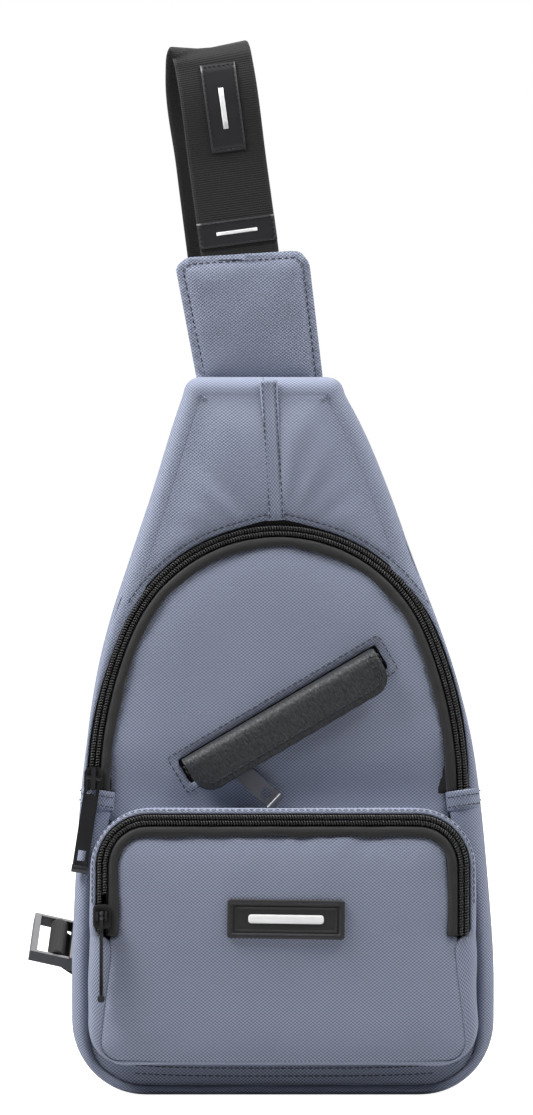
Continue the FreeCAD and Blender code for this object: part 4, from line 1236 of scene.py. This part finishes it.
# Each label's middle, half width, foot and top, then its plain bar's half width, foot and top
for cad, mid, half, low, high, bar_half, bar_low, bar_high in (
        ("strap_band_label", 0.0, 19.1, 3.5, 16.0, 10.0, 9.0, 10.6),
        ("strap_tall_label", 1.5, 8.5, 49.0, 92.0, 1.2, 60.0, 80.0)):
    label = strap_sheet(cad + "_woven", mid, half, low, high, 0.65, (14, 12), label_cloth, 0.5)
    put(label, "bag", "label", cad)
    x0, x1, v0, v1 = mid - half + 0.9, mid + half - 0.9, low + 0.9, high - 0.9
    seam = resample([(x0, v0), (x1, v0), (x1, v1), (x0, v1), (x0, v0)], 1.2)
    stitches(cad + "_thread", [on_strap(x, v, 0.7) for x, v in seam], (0, -1, 0), "bag", 1.6, 0.7, 0.3)
    bar = strap_sheet(cad + "_bar", mid, bar_half, bar_low, bar_high, 0.8, (6, 6), pale_rubber, 0.15)
    put(bar, "bag", "label")

for cad, width in (("buckle_socket", 0.9), ("buckle_plug", 0.9),
                   ("buckle_arm_near", 0.5), ("buckle_arm_far", 0.5)):
    rounded_edges(cad, buckle_plastic, "buckle_plastic", width, 3)

TAB_ROUTE = [in_buckle(-40.0, 0, 0), in_buckle(-45.3, 0, 0), (-46.5, 43.0, 50.2), (-38.5, 33.5, 48.4),
             (-30, BACK_Y + 1.7, 46.6), (-6, BACK_Y + 1.7, 41.5)]
TAB_ACROSS = [WIDTHWAYS, WIDTHWAYS, (0.14, 0.58, 0.80), (0.18, 0.25, 0.95), (0.20, 0, 0.98), (0.20, 0, 0.98)]
put(ribbon("anchor_ribbon", TAB_ROUTE, TAB_ACROSS, 2.8, 36.0), "bag", "webbing", "anchor_tab")
tab_turn = np.linspace(0.2, 2 * pi - 0.2, 26)
tab_loop = np.array([in_buckle(-35.4 - 4.2 * cos(a), 0, 3.0 * sin(a)) for a in tab_turn])
put(ribbon("anchor_end_loop", tab_loop, [WIDTHWAYS] * len(tab_loop), 1.4, 36.4), "bag", "webbing")

# ---------------------------------------------------------------- back and inside


def back_panel():
    area = LINE - LINE_OUT * 5.4
    flat, faces = area_mesh(area, (), 5.0)
    edge = distance(flat, area)
    y = BACK_Y - 0.6 + 1.6 * (1 - np.exp(-edge / 7)) + 0.3 * waves(flat[:, 0], flat[:, 1], 70, 101)
    points = np.column_stack([flat[:, 0], y, flat[:, 1]])
    made = thicken(make("back_cloth", points, facing(points, faces, (0, 1, 0)), slate, flat), 1.2)
    put(made, "bag", "slate_fabric", "back_panel")
    row = resample(LINE - LINE_OUT * 9.0, 1.8, True)
    row = np.vstack([row, row[:1]])
    stitches("back_thread", upright(row, BACK_Y + 0.35), (0, 1, 0), "bag")


def back_pad():
    line = LINE - LINE_OUT * 14.0
    line = line[(line[:, 1] > 96.0) & (line[:, 1] < 322.0)]
    order = np.argsort(np.arctan2(line[:, 1] - 210, line[:, 0] + 5))
    area = line[order]

    def half_at(edge):
        channel = 0.4 * np.exp(-((edge - 3.4) / 0.9) ** 2)
        return 0.9 + 1.7 * (1 - np.exp(-np.maximum(edge - 3.0, 0) / 5)) - channel

    made, edge = pillow("back_mesh_cushion", area, BACK_Y + 2.2, half_at, mesh_cloth, 4.5, 103)
    swell(made, 3.0, 1.2, np.clip(1.3 - np.maximum(edge - 3.0, 0) / 9, 0, 1))
    put(made, "bag", "spacer_mesh", "back_mesh_pad")


back_panel()
back_pad()
for name in ("gusset_lining", "front_lining", "back_lining", "flap_lining", "slant_pouch"):
    frame["nodes"][name].data.materials.clear()
    frame["nodes"][name].data.materials.append(lining)
frame["nodes"]["back_foam"].data.materials.clear()
frame["nodes"]["back_foam"].data.materials.append(foam)

# ---------------------------------------------------------------- floor, light and camera


def floor():
    """A wide pale floor that is white to the camera."""
    mesh = bpy.data.meshes.new("floor")
    mesh.from_pydata([(-9, -9, 0), (9, -9, 0), (9, 9, 0), (-9, 9, 0)], [], [(0, 1, 2, 3)])
    finish = bpy.data.materials.new("floor")
    finish.use_nodes = True
    shader = finish.node_tree.nodes["Principled BSDF"]
    shader.inputs["Base Color"].default_value = (0.6, 0.6, 0.61, 1)
    shader.inputs["Roughness"].default_value = 0.9
    shader.inputs["Emission Color"].default_value = (1, 1, 1, 1)
    seen = finish.node_tree.nodes.new("ShaderNodeLightPath").outputs["Is Camera Ray"]
    finish.node_tree.links.new(spread(finish.node_tree, seen, 0.0, 1.0), shader.inputs["Emission Strength"])
    mesh.materials.append(finish)
    linked("floor", mesh)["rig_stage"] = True


floor()


def area_light(name, place, target, size, power):
    lamp = bpy.data.lights.new(name, "AREA")
    lamp.shape, lamp.size, lamp.energy = "DISK", size, power
    made = bpy.data.objects.new(name, lamp)
    made.location = place
    made.rotation_euler = (Vector(target) - Vector(place)).to_track_quat("-Z", "Y").to_euler()
    bpy.context.scene.collection.objects.link(made)


area_light("left", (-0.82, -0.14, 1.12), (0, 0, 0.32), 0.6, 28)
area_light("right", (0.66, -0.14, 1.16), (0, 0, 0.32), 0.6, 18)
area_light("back", (0.3, 1.6, 1.2), (0, 0, 0.2), 1.2, 12)

world = bpy.data.worlds.new("studio")
world.use_nodes = True
sky = world.node_tree
sky_light = sky.nodes["Background"]
seen = sky.nodes.new("ShaderNodeLightPath").outputs["Is Camera Ray"]
sky.links.new(spread(sky, seen, 0.12, 1.0), sky_light.inputs["Strength"])
sky_light.inputs["Color"].default_value = (1, 1, 1, 1)
bpy.context.scene.world = world
bpy.context.scene.view_settings.view_transform = "Standard"

VIEW_MIDDLE, VIEW_HEIGHT, CAMERA_AWAY, CAMERA_RISE = (-0.0079, -0.03, 0.259), 0.535, 2.4, radians(1.5)
camera_data = bpy.data.cameras.new("camera")
camera_data.sensor_width = 36.0
camera_data.lens = 36.0 * CAMERA_AWAY / VIEW_HEIGHT
camera = bpy.data.objects.new("camera", camera_data)
camera.location = (VIEW_MIDDLE[0], VIEW_MIDDLE[1] - CAMERA_AWAY * cos(CAMERA_RISE),
                   VIEW_MIDDLE[2] + CAMERA_AWAY * sin(CAMERA_RISE))
camera.rotation_euler = (pi / 2 - CAMERA_RISE, 0, 0)
bpy.context.scene.collection.objects.link(camera)
bpy.context.scene.camera = camera

low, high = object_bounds()
